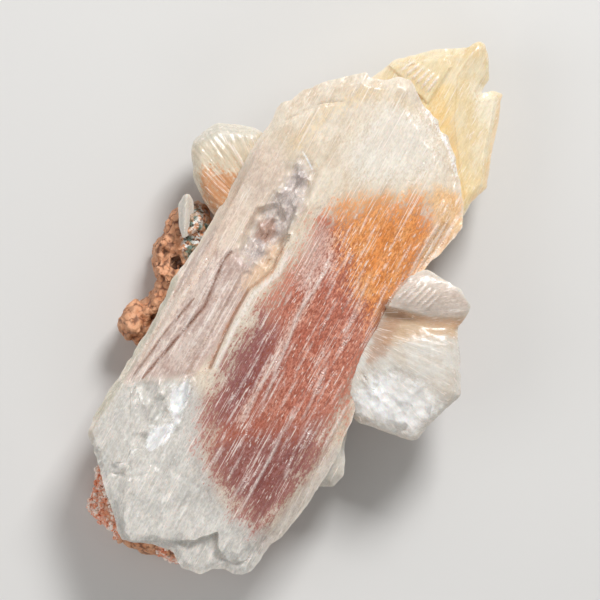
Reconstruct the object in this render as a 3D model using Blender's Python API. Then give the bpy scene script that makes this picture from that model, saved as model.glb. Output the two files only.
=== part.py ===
"""A stilbite cluster lying on its back, with its best side up.

A large tabular stilbite crystal carries smaller blades, a fan and a sheaf, and they
all grow from a piece of brown matrix that is broken flat where the cluster rests.
Every crystal is a slab: an outline in plan, a relief of plates, ledges, grooves and
striation ridges on its front, a plainer back, and a stepped edge of thin leaves.

Plan sizes are in millimetres, +Y runs up the specimen and +Z towards the viewer.
"""

import math
import random

import bmesh
import bpy
from mathutils import Vector, noise
from mathutils.geometry import delaunay_2d_cdt

MM = 0.001                     # metres in a millimetre
GAP = 0.35                     # clearance between neighbouring crystals
CLEARANCE_TOP = 30.0           # above everything
LEDGE_RUN = 0.45               # plan width of a ledge's riser
AXIS_TILT = 61.0               # degrees from +X to the main blade's long axis

BLADE_BACK = 8.2               # height of the main blade's back
BLADE_BACK_BEVEL = 1.6         # rise of its back along the edge
BLADE_BACK_BEVEL_RUN = 2.8
BACK_RIB_HEIGHT = 0.25
BACK_RIB_SPACING = 2.8
FACE_LEVEL = 18.7              # height of its front face
FACE_CROWN = 0.7               # how far the face swells along its middle
FACE_HALF_WIDTH = 14.0
EDGE_BEVEL_RUN = 3.2           # width of the slope along its right edge
EDGE_BEVEL_DROP = 2.6
LEFT_BEVEL_RUN = 1.6           # and along its other edges
LEFT_BEVEL_DROP = 0.9
LEFT_SLAB_LEVEL = 17.5
BREAK_HOLLOW_LEVEL = 16.9
BREAK_FACET_RUN = 0.3
FOOT_LEVEL = 16.3              # the broken foot, where it steps down
FOOT_START = -30.0             # place along the axis below which it does
PIT_DEPTH = 1.3
PIT_RUN = 0.9
STRIA_HEIGHT = 0.13            # half the height of the striation ribs
STRIA_SPACING = 1.15
# Left of the face plate the front steps down in long strips: across, height.
STRIP_LEVELS = [(-19.0, 14.6), (-16.4, 15.9), (-16.0, 16.8), (-12.9, 17.5), (-9.6, 17.9),
                (-9.2, 17.5), (-6.0, 17.7), (17.0, 17.7)]

BLADE_OUTLINE = [
    (-31.4, -19.0), (-30.7, -16.7), (-28.4, -13.0), (-25.9, -8.9), (-22.9, -4.2), (-20.2, 0.8),
    (-19.0, 4.0), (-17.0, 6.4), (-14.6, 10.1), (-12.4, 13.7), (-9.5, 18.7), (-6.7, 23.8),
    (-4.9, 26.5), (-2.2, 30.8), (-0.7, 31.3), (1.1, 32.8), (6.1, 34.7), (10.7, 35.5),
    (11.2, 34.6), (13.3, 34.3), (15.4, 34.7), (17.3, 34.3), (19.4, 30.4), (21.5, 28.0),
    (21.8, 26.5), (23.0, 25.9), (24.2, 22.1), (24.8, 18.4), (25.4, 15.7), (25.1, 11.6),
    (21.5, 7.7), (19.9, 6.1), (16.7, 0.4), (13.1, -6.4), (9.4, -14.6), (6.7, -21.7),
    (5.2, -24.7), (1.7, -29.8), (-2.0, -34.7), (-3.7, -35.8), (-6.7, -39.8), (-8.0, -40.3),
    (-9.4, -40.2), (-10.7, -39.5), (-12.4, -39.5), (-14.3, -40.1), (-17.3, -39.4),
    (-18.5, -36.5), (-21.4, -35.7), (-24.7, -35.5), (-26.3, -35.0), (-27.5, -31.1),
    (-29.5, -24.7), (-30.7, -20.9),
]
# The raised front plate, which runs down into the foot of the blade.
FACE_PLATE = [
    (-2.3, 29.3), (1.4, 31.9), (8.2, 34.1), (10.9, 34.1), (13.3, 33.5), (16.4, 33.5),
    (17.9, 31.4), (20.2, 28.4), (22.6, 25.0), (23.9, 17.6), (24.1, 13.9), (21.7, 9.7),
    (17.9, 5.3), (11.9, -5.9), (8.8, -13.1), (5.9, -19.4), (2.5, -25.6), (-5.0, -35.6),
    (-7.9, -38.2), (-10.1, -38.3), (-11.5, -36.1), (-11.6, -33.5), (-15.2, -34.9),
    (-20.3, -35.0), (-24.7, -35.0), (-25.7, -33.4), (-25.0, -23.8), (-21.8, -22.1),
    (-17.5, -18.1), (-15.8, -10.4), (-12.7, -9.5), (-9.5, -2.0), (-6.7, 2.9), (-3.1, 5.9),
    (-1.6, 10.6), (1.1, 16.9), (0.7, 20.6), (-4.1, 25.1),
]
# A second plate on the left of the foot, and the cleaved hollow beside it.
LEFT_SLAB = [
    (-30.6, -18.3), (-28.4, -14.4), (-26.0, -11.4), (-24.8, -12.0), (-24.9, -16.9),
    (-24.6, -20.9), (-25.4, -23.2), (-27.4, -23.3), (-28.2, -21.7), (-29.8, -20.8),
]
BREAK_HOLLOW = [
    (-15.9, -10.9), (-21.8, -11.9), (-24.3, -12.6), (-24.1, -20.5), (-21.8, -21.4),
    (-19.4, -19.6), (-17.8, -17.7),
]
# Cleavage facets in the hollow: outline, then how far they stand above it.
BREAK_FACETS = [
    ([(-18.5, -12.4), (-16.2, -11.2), (-16.2, -12.8), (-17.3, -15.1), (-18.2, -14.5)], 0.7),
    ([(-18.1, -17.7), (-22.4, -19.0), (-22.2, -20.7), (-19.5, -19.2)], 0.8),
    ([(-23.9, -13.0), (-20.3, -12.6), (-19.4, -13.9), (-21.4, -17.2), (-23.7, -16.9)], 0.6),
]
PIT = [
    (-5.2, 14.3), (-3.0, 15.0), (-2.2, 12.9), (-2.9, 10.4), (-4.6, 8.6), (-6.1, 7.9),
    (-7.6, 8.6), (-6.8, 11.6),
]
# Grooves, then long ridges, on the front of the main blade: path, height, half width.
GROOVES = [
    ([(-9.5, 8.6), (-10.9, 7.1), (-13.6, 0.2), (-17.0, -3.7), (-23.0, -10.6)], -0.75, 0.55),
    ([(-15.2, 1.4), (-19.3, -3.4), (-24.2, -10.0)], -0.5, 0.45),
    ([(-16.3, 6.3), (-18.2, 2.0), (-20.6, -3.0), (-26.3, -11.2)], -0.6, 0.5),
    ([(-2.4, 27.6), (4.0, 30.6), (7.7, 30.9)], -0.35, 0.45),
]
RIDGES = [
    ([(3.1, 5.6), (-5.8, -16.7)], 0.42, 0.5),
    ([(5.5, 6.8), (-0.5, -2.2)], 0.32, 0.45),
    ([(-1.1, -4.1), (-8.6, -17.6)], 0.35, 0.45),
    ([(11.5, 5.6), (6.7, -5.6)], 0.32, 0.45),
    ([(5.2, -7.9), (0.7, -17.6)], 0.32, 0.45),
    ([(0.7, -13.9), (-5.0, -24.4)], 0.3, 0.45),
    ([(-2.3, -19.9), (-9.1, -31.9)], 0.32, 0.45),
    ([(8.2, -13.9), (3.7, -22.1)], 0.3, 0.45),
    ([(22.0, 13.9), (16.4, 3.7)], 0.38, 0.5),
    ([(20.2, 8.6), (13.9, -1.6)], 0.36, 0.5),
    ([(-10.6, -19.9), (-13.6, -25.1)], 0.28, 0.4),
    ([(-6.8, -24.4), (-10.1, -29.6)], 0.28, 0.4),
]

GOLDEN_OUTLINE = [
    (11.2, 34.6), (12.8, 35.6), (14.6, 37.4), (18.1, 38.2), (21.5, 39.2), (25.0, 39.2),
    (27.8, 40.3), (28.7, 39.8), (29.2, 38.0), (29.4, 34.5), (28.1, 32.4), (29.8, 32.9),
    (31.4, 32.3), (31.1, 30.7), (30.7, 27.8), (30.0, 24.9), (29.2, 20.3), (29.0, 18.0),
    (26.7, 16.0), (25.3, 13.7), (19.0, 12.8), (12.5, 15.0), (9.0, 21.0), (8.5, 29.0),
]
GOLDEN_RIDGE = [(27.4, 39.4), (24.4, 34.9), (23.9, 28.1), (24.7, 21.4), (25.6, 15.4)]
GOLDEN_FACET = [(14.4, 36.4), (22.4, 37.6), (23.2, 36.2), (19.9, 31.0), (18.0, 32.8)]
GOLDEN_FRONT = 15.6
GOLDEN_BACK = 5.4
GOLDEN_BACK_BEVEL = 2.2
GOLDEN_BACK_BEVEL_RUN = 3.5
GOLDEN_FACET_HEIGHT = 0.5      # the barred facet above the slope it sits on
GOLDEN_FACET_RUN = 0.4
GOLDEN_BARS = 6

SHEAF_OUTLINE = [
    (19.7, 5.9), (21.5, 4.6), (25.0, 2.9), (26.5, 0.1), (25.4, -1.9), (24.4, -3.4),
    (24.6, -5.2), (25.0, -10.1), (24.9, -13.3), (21.7, -16.1), (18.4, -19.9), (17.3, -20.2),
    (12.8, -18.5), (9.5, -17.4), (7.4, -15.5), (5.2, -11.5), (5.2, -3.0), (9.0, 2.6),
    (14.9, 2.8), (17.2, 5.1),
]
# The upper lobe lies over the blade's edge; the lower one sinks towards the blade.
SHEAF_LOBE = [
    (19.3, 5.4), (21.4, 4.1), (23.5, 3.2), (25.6, 1.0), (25.9, 0.1), (24.9, -1.4),
    (21.2, -1.2), (16.7, -0.4), (13.9, 0.2), (15.1, 2.2), (17.3, 4.7),
]
SHEAF_BROKEN = [
    (7.9, -15.5), (9.2, -12.8), (11.9, -9.7), (15.1, -9.8), (19.3, -11.8), (21.4, -14.9),
    (20.1, -16.8), (17.3, -18.9), (12.8, -17.3),
]
SHEAF_LOBE_TOP = 21.4
SHEAF_BAND = 17.6
SHEAF_TOP = 19.6
SHEAF_CENTRE = (18.5, -10.0)   # where the lower lobe swells most
SHEAF_SWELL = (11.0, 10.0)     # and how far it swells across and along
SHEAF_RIM_DROP = 1.9
SHEAF_RIM_RUN = 1.8
SHEAF_LOBE_RUN = 0.6
SHEAF_BROKEN_DEPTH = 0.5
SHEAF_BROKEN_RUN = 0.7
SHEAF_RIB_ROOT = (4.0, -1.0)   # where the ribs on its front spread from
SHEAF_RIBS = 22
SHEAF_RIB_TURN = (-66.0, 24.0)
SHEAF_RIB_HEIGHT = 0.11
SHEAF_BACK = 5.4               # where it leaves the rock
SHEAF_ROOT = (8.0, -6.0)
SHEAF_BACK_SLOPE = 0.42

FAN_OUTLINE = [
    (-5.0, 26.5), (-6.5, 27.3), (-8.9, 27.8), (-11.9, 28.0), (-13.2, 27.1), (-14.5, 26.3),
    (-15.5, 25.1), (-15.9, 23.7), (-15.6, 21.3), (-15.7, 20.0), (-14.6, 17.4),
    (-13.7, 15.5), (-11.9, 13.6), (-8.6, 13.6), (-3.8, 22.0),
]
FAN_ROOT = (-10.2, 11.8)       # where the fan's blades start from
FAN_RIBS = 17
FAN_RIB_TURN = (62.0, 132.0)
FAN_RIB_HEIGHT = 0.16
FAN_FRONT = 15.0
FAN_BACK = 5.6
FAN_BACK_BEVEL = 2.6
FAN_BACK_BEVEL_RUN = 3.0

WHITE_OUTLINE = [
    (-16.2, 17.4), (-17.1, 17.1), (-17.8, 15.6), (-17.8, 12.4), (-17.1, 10.4),
    (-16.2, 10.8), (-15.3, 14.4), (-15.4, 16.2),
]
WHITE_FRONT = 13.2
WHITE_BACK = 7.2
WHITE_RIDGE = -16.6            # where its two faces meet
WHITE_SLOPE = 0.7

LOWER_OUTLINE = [
    (8.0, -18.2), (7.4, -21.5), (7.6, -23.8), (7.3, -25.6), (5.7, -27.2), (3.6, -27.1),
    (-1.6, -27.8), (-2.6, -22.0), (1.0, -17.4), (5.0, -16.2),
]
LOWER_FRONT = 12.4
LOWER_BACK = 3.4
LOWER_BEVEL = 1.2
LOWER_BACK_BEVEL = 1.5

# Big rounded masses of the rock: centre, then radius across and height.
ROCK_MASSES = [
    ((-11.0, 4.0, 2.6), 9.5, 6.0), ((-15.0, -8.0, 2.4), 9.5, 6.0), ((-17.5, -21.0, 2.4), 9.5, 6.0),
    ((-4.0, 8.5, 2.4), 8.0, 5.6), ((-2.5, -3.0, 2.4), 8.5, 6.0), ((-8.0, -17.0, 2.4), 9.0, 6.0),
    ((-20.0, -31.0, 3.0), 6.8, 5.6), ((-11.5, -30.0, 2.6), 7.5, 5.2), ((-16.5, -0.5, 3.0), 6.0, 6.5),
    ((6.5, -5.0, 2.0), 7.5, 5.5), ((14.6, -8.4, 1.8), 6.4, 5.5), ((2.0, 8.0, 2.2), 6.0, 5.0),
]
# The stretches that stand clear of the crystals: path of a row of lumps, radii, count.
ROCK_ROWS = [
    ([(-18.3, 12.2, 7.0), (-19.4, 9.0, 8.0), (-19.4, 5.0, 8.4), (-19.0, 2.4, 8.0)], 1.75, 13),
    ([(-19.5, 1.6, 7.0), (-21.4, -0.4, 7.6), (-24.4, -1.2, 7.6), (-24.6, -3.2, 7.0)], 1.5, 10),
    ([(-16.2, 14.3, 9.0), (-15.4, 11.4, 10.0), (-16.9, 7.8, 9.4)], 1.5, 9),
    ([(-28.0, -25.4, 7.0), (-29.2, -28.6, 7.4), (-28.9, -30.2, 7.0), (-26.9, -32.4, 7.0)], 1.55, 12),
    ([(-25.8, -34.6, 5.0), (-19.6, -36.4, 4.6), (-18.9, -37.3, 4.6)], 1.3, 7),
]
ROCK_BRIDGES = [                # low rock that carries the rows
    ((-17.5, 8.0, 3.6), 4.6, 6.2), ((-21.6, -2.6, 3.0), 3.8, 5.6),
    ((-25.6, -28.6, 3.2), 4.3, 5.4), ((-16.0, 12.2, 3.6), 3.0, 6.0),
]

ROCK_VOXEL = 0.62              # grain of the lumpy rock surface
ROCK_TRIANGLES = 4300          # before the flat base and the crystals cut it
ROCK_ROUGHNESS = [(0.16, 1.3), (0.5, 0.7), (1.2, 0.25)]  # noise scale and push

CREAM = (0.80, 0.71, 0.58)
HONEY = (0.80, 0.62, 0.36)
PEARL = (0.76, 0.71, 0.64)
ROSE = (0.42, 0.19, 0.14)
RUST = (0.26, 0.12, 0.07)


def along_across(x, y):
    """Distances along and across the main blade's long axis."""
    tilt = math.radians(AXIS_TILT)
    along = x * math.cos(tilt) + y * math.sin(tilt)
    across = x * math.sin(tilt) - y * math.cos(tilt)
    return along, across


def plan_point(along, across):
    """The plan point at those distances."""
    tilt = math.radians(AXIS_TILT)
    x = along * math.cos(tilt) + across * math.sin(tilt)
    y = along * math.sin(tilt) - across * math.cos(tilt)
    return x, y


def segment_distance(x, y, start, end):
    """Distance to a segment, and how far along it the nearest point is."""
    run_x, run_y = end[0] - start[0], end[1] - start[1]
    length = run_x * run_x + run_y * run_y
    share = ((x - start[0]) * run_x + (y - start[1]) * run_y) / length
    share = min(max(share, 0.0), 1.0)
    gap_x = x - start[0] - share * run_x
    gap_y = y - start[1] - share * run_y
    return math.hypot(gap_x, gap_y), share


def outside(x, y, outline):
    """Distance to an outline, below zero inside it."""
    inside = False
    nearest = 1e9
    for start, end in zip(outline, outline[1:] + outline[:1]):
        nearest = min(nearest, segment_distance(x, y, start, end)[0])
        if (start[1] > y) != (end[1] > y):
            crossing = start[0] + (y - start[1]) / (end[1] - start[1]) * (end[0] - start[0])
            if crossing > x:
                inside = not inside
    return -nearest if inside else nearest


def is_anticlockwise(outline):
    area = 0.0
    for start, end in zip(outline, outline[1:] + outline[:1]):
        area += start[0] * end[1] - end[0] * start[1]
    return area > 0


def offset_outline(outline, amount):
    """The outline moved outwards, or inwards for an amount below zero."""
    sign = 1.0 if is_anticlockwise(outline) else -1.0
    moved = []
    count = len(outline)
    for index, point in enumerate(outline):
        before = Vector(outline[index - 1])
        here = Vector(point)
        after = Vector(outline[(index + 1) % count])
        first = (here - before).normalized()
        second = (after - here).normalized()
        middle = first + second
        middle = middle.normalized() if middle.length > 1e-6 else first
        stretch = 1.0 / max(0.6, middle.dot(first))
        moved.append((point[0] + sign * middle.y * amount * stretch,
                      point[1] - sign * middle.x * amount * stretch))
    return moved


def fall(distance, run):
    """One inside a plate, falling to nothing at the foot of its riser."""
    return min(max(1.0 - distance / run, 0.0), 1.0)


def crease_height(x, y, creases):
    """The grooves and ridges added up, each a thin wedge that fades at its ends."""
    total = 0.0
    for path, height, half_width in creases:
        best = 0.0
        for index, (start, end) in enumerate(zip(path, path[1:])):
            distance, share = segment_distance(x, y, start, end)
            fade = 1.0
            if index == 0:
                fade = min(fade, 4.0 * share)
            if index == len(path) - 2:
                fade = min(fade, 4.0 * (1.0 - share))
            best = max(best, fall(distance, half_width) * fade)
        total += height * best
    return total


def crease_lines(creases):
    """The brow and the two feet of every groove or ridge."""
    lines = []
    for path, _, half_width in creases:
        run = Vector(path[-1]) - Vector(path[0])
        side = Vector((-run.y, run.x)).normalized() * half_width
        first, last = path[0], path[-1]
        quarter = [tuple(Vector(a).lerp(Vector(b), share))
                   for (a, b, share) in ((path[0], path[1], 0.25), (path[-2], path[-1], 0.75))]
        middle = [first, quarter[0]] + path[1:-1] + [quarter[1], last]
        lines.append(middle)
        inner = middle[1:-1]
        for sign in (1.0, -1.0):
            shifted = [(p[0] + sign * side.x, p[1] + sign * side.y) for p in inner]
            lines.append([first] + shifted + [last])
    return lines


def plate_lines(outline, run=LEDGE_RUN):
    """A plate's brow and the foot of its riser, as closed lines."""
    foot = offset_outline(outline, run)
    return [outline + outline[:1], foot + foot[:1]]


def triangulate(outline, lines, points):
    """Constrained triangles over an outline, with lines kept as edges."""
    verts = [Vector(point) for point in outline]
    edges = [(index, (index + 1) % len(outline)) for index in range(len(outline))]
    for line in lines:
        start = len(verts)
        verts += [Vector(point) for point in line]
        edges += [(start + index, start + index + 1) for index in range(len(line) - 1)]
    verts += [Vector(point) for point in points]
    face = list(range(len(outline)))
    if not is_anticlockwise(outline):
        face.reverse()
    result = delaunay_2d_cdt(verts, edges, [face], 1, 0.06)
    return result[0], result[2]


def slab(name, outline, front, back, colour, lines=(), points=(), back_lines=(), back_points=(),
         leaves=()):
    """A closed crystal slab: front relief, back, and an edge of thin leaves.

    Leaves are (share of the thickness, inset) pairs from the front edge to the back.
    """
    mesh = bmesh.new()
    half_edges = {}

    def sheet(lines_used, points_used, height, upwards):
        verts, faces = triangulate(outline, lines_used, points_used)
        made = [mesh.verts.new((v.x, v.y, height(v.x, v.y))) for v in verts]
        used = set()
        for face in faces:
            corners = [made[index] for index in face]
            if not upwards:
                corners.reverse()
            mesh.faces.new(corners)
            used.update(face)
        for index, vert in enumerate(made):
            if index not in used:
                mesh.verts.remove(vert)
        half_edges[upwards] = [edge for edge in mesh.edges if edge.is_boundary]

    sheet(lines, points, front, True)
    top_loop = ordered_rim(half_edges[True])
    sheet(back_lines, back_points, back, False)
    low_edges = [edge for edge in mesh.edges if edge.is_boundary and edge not in set(half_edges[True])]
    low_loop = ordered_rim(low_edges)
    close_edge(mesh, outline, top_loop, low_loop, leaves)
    bmesh.ops.recalc_face_normals(mesh, faces=mesh.faces)
    bmesh.ops.triangulate(mesh, faces=mesh.faces)
    return finish(name, mesh, colour)


def ordered_rim(edges):
    """The rim's points in order, anticlockwise seen from the front."""
    follow = {}
    for edge in edges:
        for vert in edge.verts:
            follow.setdefault(vert, []).append(edge.other_vert(vert))
    start = min(follow, key=lambda vert: (vert.co.x, vert.co.y))
    loop = [start]
    previous, here = None, start
    while True:
        nxt = [vert for vert in follow[here] if vert is not previous][0]
        if nxt is start:
            break
        loop.append(nxt)
        previous, here = here, nxt
    if not is_anticlockwise([(vert.co.x, vert.co.y) for vert in loop]):
        loop.reverse()
    return loop


def close_edge(mesh, outline, top_loop, low_loop, leaves):
    """Walls from the front rim to the back rim through the leaves' edges."""
    def corner_at(loop, x, y):
        return min(range(len(loop)), key=lambda i: (loop[i].co.x - x) ** 2 + (loop[i].co.y - y) ** 2)

    corners = outline if is_anticlockwise(outline) else outline[::-1]
    loops = [top_loop]
    tops = [top_loop[corner_at(top_loop, *point)].co.z for point in corners]
    lows = [low_loop[corner_at(low_loop, *point)].co.z for point in corners]
    for share, inset in leaves:
        ring = offset_outline(corners, -inset)
        made = []
        for (x, y), top, low in zip(ring, tops, lows):
            made.append(mesh.verts.new((x, y, top + (low - top) * share)))
        loops.append(made)
    loops.append(low_loop)
    for upper, lower in zip(loops, loops[1:]):
        stitch(mesh, upper, lower)


def stitch(mesh, upper, lower):
    """Triangles between two loops that run the same way round."""
    begin = min(range(len(lower)),
                key=lambda i: (lower[i].co.xy - upper[0].co.xy).length)
    lower = lower[begin:] + lower[:begin]
    step_up, step_low = 0, 0
    while step_up < len(upper) or step_low < len(lower):
        here_up = upper[step_up % len(upper)]
        here_low = lower[step_low % len(lower)]
        next_up = upper[(step_up + 1) % len(upper)]
        next_low = lower[(step_low + 1) % len(lower)]
        go_up = (next_up.co.xy - here_low.co.xy).length
        go_low = (next_low.co.xy - here_up.co.xy).length
        if step_low >= len(lower) or (step_up < len(upper) and go_up <= go_low):
            mesh.faces.new((here_up, here_low, next_up))
            step_up += 1
        else:
            mesh.faces.new((here_up, here_low, next_low))
            step_low += 1


def finish(name, mesh, colour, roughness=0.35):
    """A named object in metres, with a plain material of its own."""
    for vert in mesh.verts:
        vert.co *= MM
    data = bpy.data.meshes.new(name)
    mesh.to_mesh(data)
    mesh.free()
    made = bpy.data.objects.new(name, data)
    bpy.context.collection.objects.link(made)
    data.materials.append(mineral(name, colour, roughness))
    return made


def mineral(name, colour, roughness):
    made = bpy.data.materials.new(name)
    made.use_nodes = True
    shader = made.node_tree.nodes["Principled BSDF"]
    shader.inputs["Base Color"].default_value = (*colour, 1.0)
    shader.inputs["Roughness"].default_value = roughness
    shader.inputs["Metallic"].default_value = 0.0
    return made


def cut_clear(piece, cutters):
    """Takes the cutters out of a piece and keeps its largest body."""
    for cutter in cutters:
        cutter.hide_render = True
        cutter.display_type = "WIRE"
        clear = piece.modifiers.new("clear of " + cutter.name, "BOOLEAN")
        clear.operation = "DIFFERENCE"
        clear.object = cutter
    bake_modifiers(piece)
    mesh = bmesh.new()
    mesh.from_mesh(piece.data)
    bmesh.ops.triangulate(mesh, faces=mesh.faces)
    bmesh.ops.remove_doubles(mesh, verts=mesh.verts, dist=0.02 * MM)
    bmesh.ops.dissolve_degenerate(mesh, edges=mesh.edges, dist=0.01 * MM)
    bmesh.ops.triangulate(mesh, faces=mesh.faces)
    keep_largest(mesh)
    mesh.to_mesh(piece.data)
    mesh.free()


def keep_largest(mesh):
    """Deletes every body but the one with most faces."""
    left = set(mesh.faces)
    bodies = []
    while left:
        body = {left.pop()}
        edge_of_body = list(body)
        while edge_of_body:
            face = edge_of_body.pop()
            for edge in face.edges:
                for other in edge.link_faces:
                    if other in left:
                        left.discard(other)
                        body.add(other)
                        edge_of_body.append(other)
        bodies.append(body)
    bodies.sort(key=len, reverse=True)
    for body in bodies[1:]:
        bmesh.ops.delete(mesh, geom=list(body), context="FACES")


def lattice(outline, spacing, inset=0.8):
    """Plan points on a square grid inside an outline."""
    xs = [point[0] for point in outline]
    ys = [point[1] for point in outline]
    points = []
    y = min(ys) + spacing / 2
    while y < max(ys):
        x = min(xs) + spacing / 2
        while x < max(xs):
            if outside(x, y, outline) < -inset:
                points.append((x, y))
            x += spacing
        y += spacing
    return points


def rib_lines(outline, spacing, step, seed):
    """Lines along the main axis for the striation ribs, with each rib's height."""
    rng = random.Random(seed)
    spans = [along_across(*point) for point in outline]
    low_along = min(span[0] for span in spans)
    high_along = max(span[0] for span in spans)
    across = min(span[1] for span in spans) + spacing
    last = max(span[1] for span in spans)
    lines, profile = [], []
    sign = 1.0
    while across < last:
        line = []
        along = low_along + rng.uniform(0.0, step)
        while along < high_along:
            point = plan_point(along, across)
            if outside(*point, outline) < -0.7:
                line.append(point)
            elif len(line) > 1:
                lines.append(line)
                line = []
            else:
                line = []
            along += step * rng.uniform(0.8, 1.2)
        if len(line) > 1:
            lines.append(line)
        profile.append((across, sign * rng.uniform(0.4, 1.0)))
        sign = -sign
        across += spacing * rng.uniform(0.7, 1.3)
    return lines, profile


def rib_height(across, profile):
    """Height of the ribbed surface between two neighbouring ribs."""
    for (left, low), (right, high) in zip(profile, profile[1:]):
        if left <= across <= right:
            return low + (high - low) * (across - left) / (right - left)
    return 0.0


def strip_height(across):
    for (left, low), (right, high) in zip(STRIP_LEVELS, STRIP_LEVELS[1:]):
        if across <= right:
            return low + (high - low) * (across - left) / (right - left)
    return STRIP_LEVELS[-1][1]


def blade_front_without_ribs(x, y):
    """The main blade's front: strips, face plate, foot, hollow and pit."""
    along, across = along_across(x, y)
    rim = -outside(x, y, BLADE_OUTLINE)
    level = strip_height(across)
    if along < FOOT_START:
        level = min(level, FOOT_LEVEL)
    face = FACE_LEVEL + FACE_CROWN * (1.0 - ((across - 1.0) / FACE_HALF_WIDTH) ** 2)
    if across > 0.0:
        face -= EDGE_BEVEL_DROP * fall(rim, EDGE_BEVEL_RUN)
    else:
        face -= LEFT_BEVEL_DROP * fall(rim, LEFT_BEVEL_RUN)
    level += (face - level) * fall(outside(x, y, FACE_PLATE), LEDGE_RUN)
    level += (LEFT_SLAB_LEVEL - level) * fall(outside(x, y, LEFT_SLAB), LEDGE_RUN)
    level += (BREAK_HOLLOW_LEVEL - level) * fall(outside(x, y, BREAK_HOLLOW), LEDGE_RUN)
    for facet, height in BREAK_FACETS:
        level += height * fall(outside(x, y, facet), BREAK_FACET_RUN)
    level -= PIT_DEPTH * fall(outside(x, y, PIT), PIT_RUN)
    level += crease_height(x, y, GROOVES)
    return level


def main_blade():
    ribs, profile = rib_lines(BLADE_OUTLINE, STRIA_SPACING, 6.5, seed=4)
    back_ribs, back_profile = rib_lines(BLADE_OUTLINE, BACK_RIB_SPACING, 9.0, seed=9)

    def front(x, y):
        across = along_across(x, y)[1]
        height = blade_front_without_ribs(x, y) + STRIA_HEIGHT * rib_height(across, profile)
        return height + crease_height(x, y, RIDGES)

    def back(x, y):
        across = along_across(x, y)[1]
        return blade_back_without_ribs(x, y) + BACK_RIB_HEIGHT * rib_height(across, back_profile)

    lines = ribs + crease_lines(GROOVES) + crease_lines(RIDGES)
    for plate in (FACE_PLATE, LEFT_SLAB, BREAK_HOLLOW):
        lines += plate_lines(plate)
    for facet, _ in BREAK_FACETS:
        lines += plate_lines(facet, BREAK_FACET_RUN)
    lines += plate_lines(PIT, PIT_RUN)
    leaves = [(0.2, 0.35), (0.24, 0.0), (0.5, 0.5), (0.54, 0.1), (0.8, 0.6)]
    return slab("main_blade", BLADE_OUTLINE, front, back, ROSE, lines=lines,
                back_lines=back_ribs, leaves=leaves)


def blade_back_without_ribs(x, y):
    return BLADE_BACK + BLADE_BACK_BEVEL * fall(-outside(x, y, BLADE_OUTLINE), BLADE_BACK_BEVEL_RUN)


def blade_clearance():
    """The main blade, a gap larger all round, to cut its neighbours clear of it."""
    grown = offset_outline(BLADE_OUTLINE, GAP)

    def front(x, y):
        return blade_front_without_ribs(x, y) + GAP + STRIA_HEIGHT + 0.15

    def back(x, y):
        return blade_back_without_ribs(x, y) - GAP - BACK_RIB_HEIGHT - 0.05

    return slab("blade_clearance", grown, front, back, CREAM,
                points=lattice(grown, 2.2), back_points=lattice(grown, 2.6))


def golden_front(x, y):
    """Two long facets meet on a ridge; a striated facet dips at the top left."""
    side = min(segment_distance(x, y, a, b)[0] for a, b in zip(GOLDEN_RIDGE, GOLDEN_RIDGE[1:]))
    right_of_ridge = x > 24.2
    height = GOLDEN_FRONT - side * (0.42 if right_of_ridge else 0.12)
    height -= 0.7 * fall(-outside(x, y, GOLDEN_OUTLINE), 1.2)
    return height + GOLDEN_FACET_HEIGHT * fall(outside(x, y, GOLDEN_FACET), GOLDEN_FACET_RUN)


def golden_bars():
    """Raised bars on the striated facet, slanting up to the right."""
    bars = []
    for index in range(GOLDEN_BARS):
        share = (index + 0.5) / GOLDEN_BARS
        low = Vector((15.6, 35.6)).lerp(Vector((19.9, 32.0)), share)
        high = low + Vector((2.3 - 0.6 * share, 1.7 + 0.9 * share))
        bars.append(([tuple(low), tuple(high)], 0.28, 0.3))
    return bars


def golden_back(x, y):
    rim = -outside(x, y, GOLDEN_OUTLINE)
    return GOLDEN_BACK + GOLDEN_BACK_BEVEL * fall(rim, GOLDEN_BACK_BEVEL_RUN)


def golden_tip():
    bars = golden_bars()

    def front(x, y):
        wave = 0.1 * math.sin(3.4 * along_across(x, y)[1])
        return golden_front(x, y) + crease_height(x, y, bars) + wave

    lines = [GOLDEN_RIDGE] + plate_lines(GOLDEN_FACET, GOLDEN_FACET_RUN) + crease_lines(bars)
    leaves = [(0.25, 0.3), (0.3, 0.0), (0.6, 0.5)]
    return slab("golden_tip", GOLDEN_OUTLINE, front, golden_back, HONEY, lines=lines,
                points=lattice(GOLDEN_OUTLINE, 2.0), back_points=lattice(GOLDEN_OUTLINE, 4.5),
                leaves=leaves)


def sheaf_front(x, y):
    """An upper lobe over a shaded band, and a lower lobe that swells below it."""
    away = math.hypot((x - SHEAF_CENTRE[0]) / SHEAF_SWELL[0], (y - SHEAF_CENTRE[1]) / SHEAF_SWELL[1])
    lower = SHEAF_TOP - 1.6 * away * away
    blend = min(max((-1.2 - y) / 4.5, 0.0), 1.0)
    height = SHEAF_BAND + (lower - SHEAF_BAND) * blend
    height -= SHEAF_RIM_DROP * fall(-outside(x, y, SHEAF_OUTLINE), SHEAF_RIM_RUN)
    lobe = SHEAF_LOBE_TOP - 0.16 * max(x - 17.0, 0.0) - 0.12 * abs(y - 2.0)
    height += (lobe - height) * fall(outside(x, y, SHEAF_LOBE), SHEAF_LOBE_RUN)
    return height - SHEAF_BROKEN_DEPTH * fall(outside(x, y, SHEAF_BROKEN), SHEAF_BROKEN_RUN)


def radial_wave(x, y, root, count, turn):
    """Up on every other line that spreads from a root, and down on those between."""
    angle = math.degrees(math.atan2(y - root[1], x - root[0]))
    return math.cos(math.pi * (count - 1) * (angle - turn[0]) / (turn[1] - turn[0]))


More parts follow.
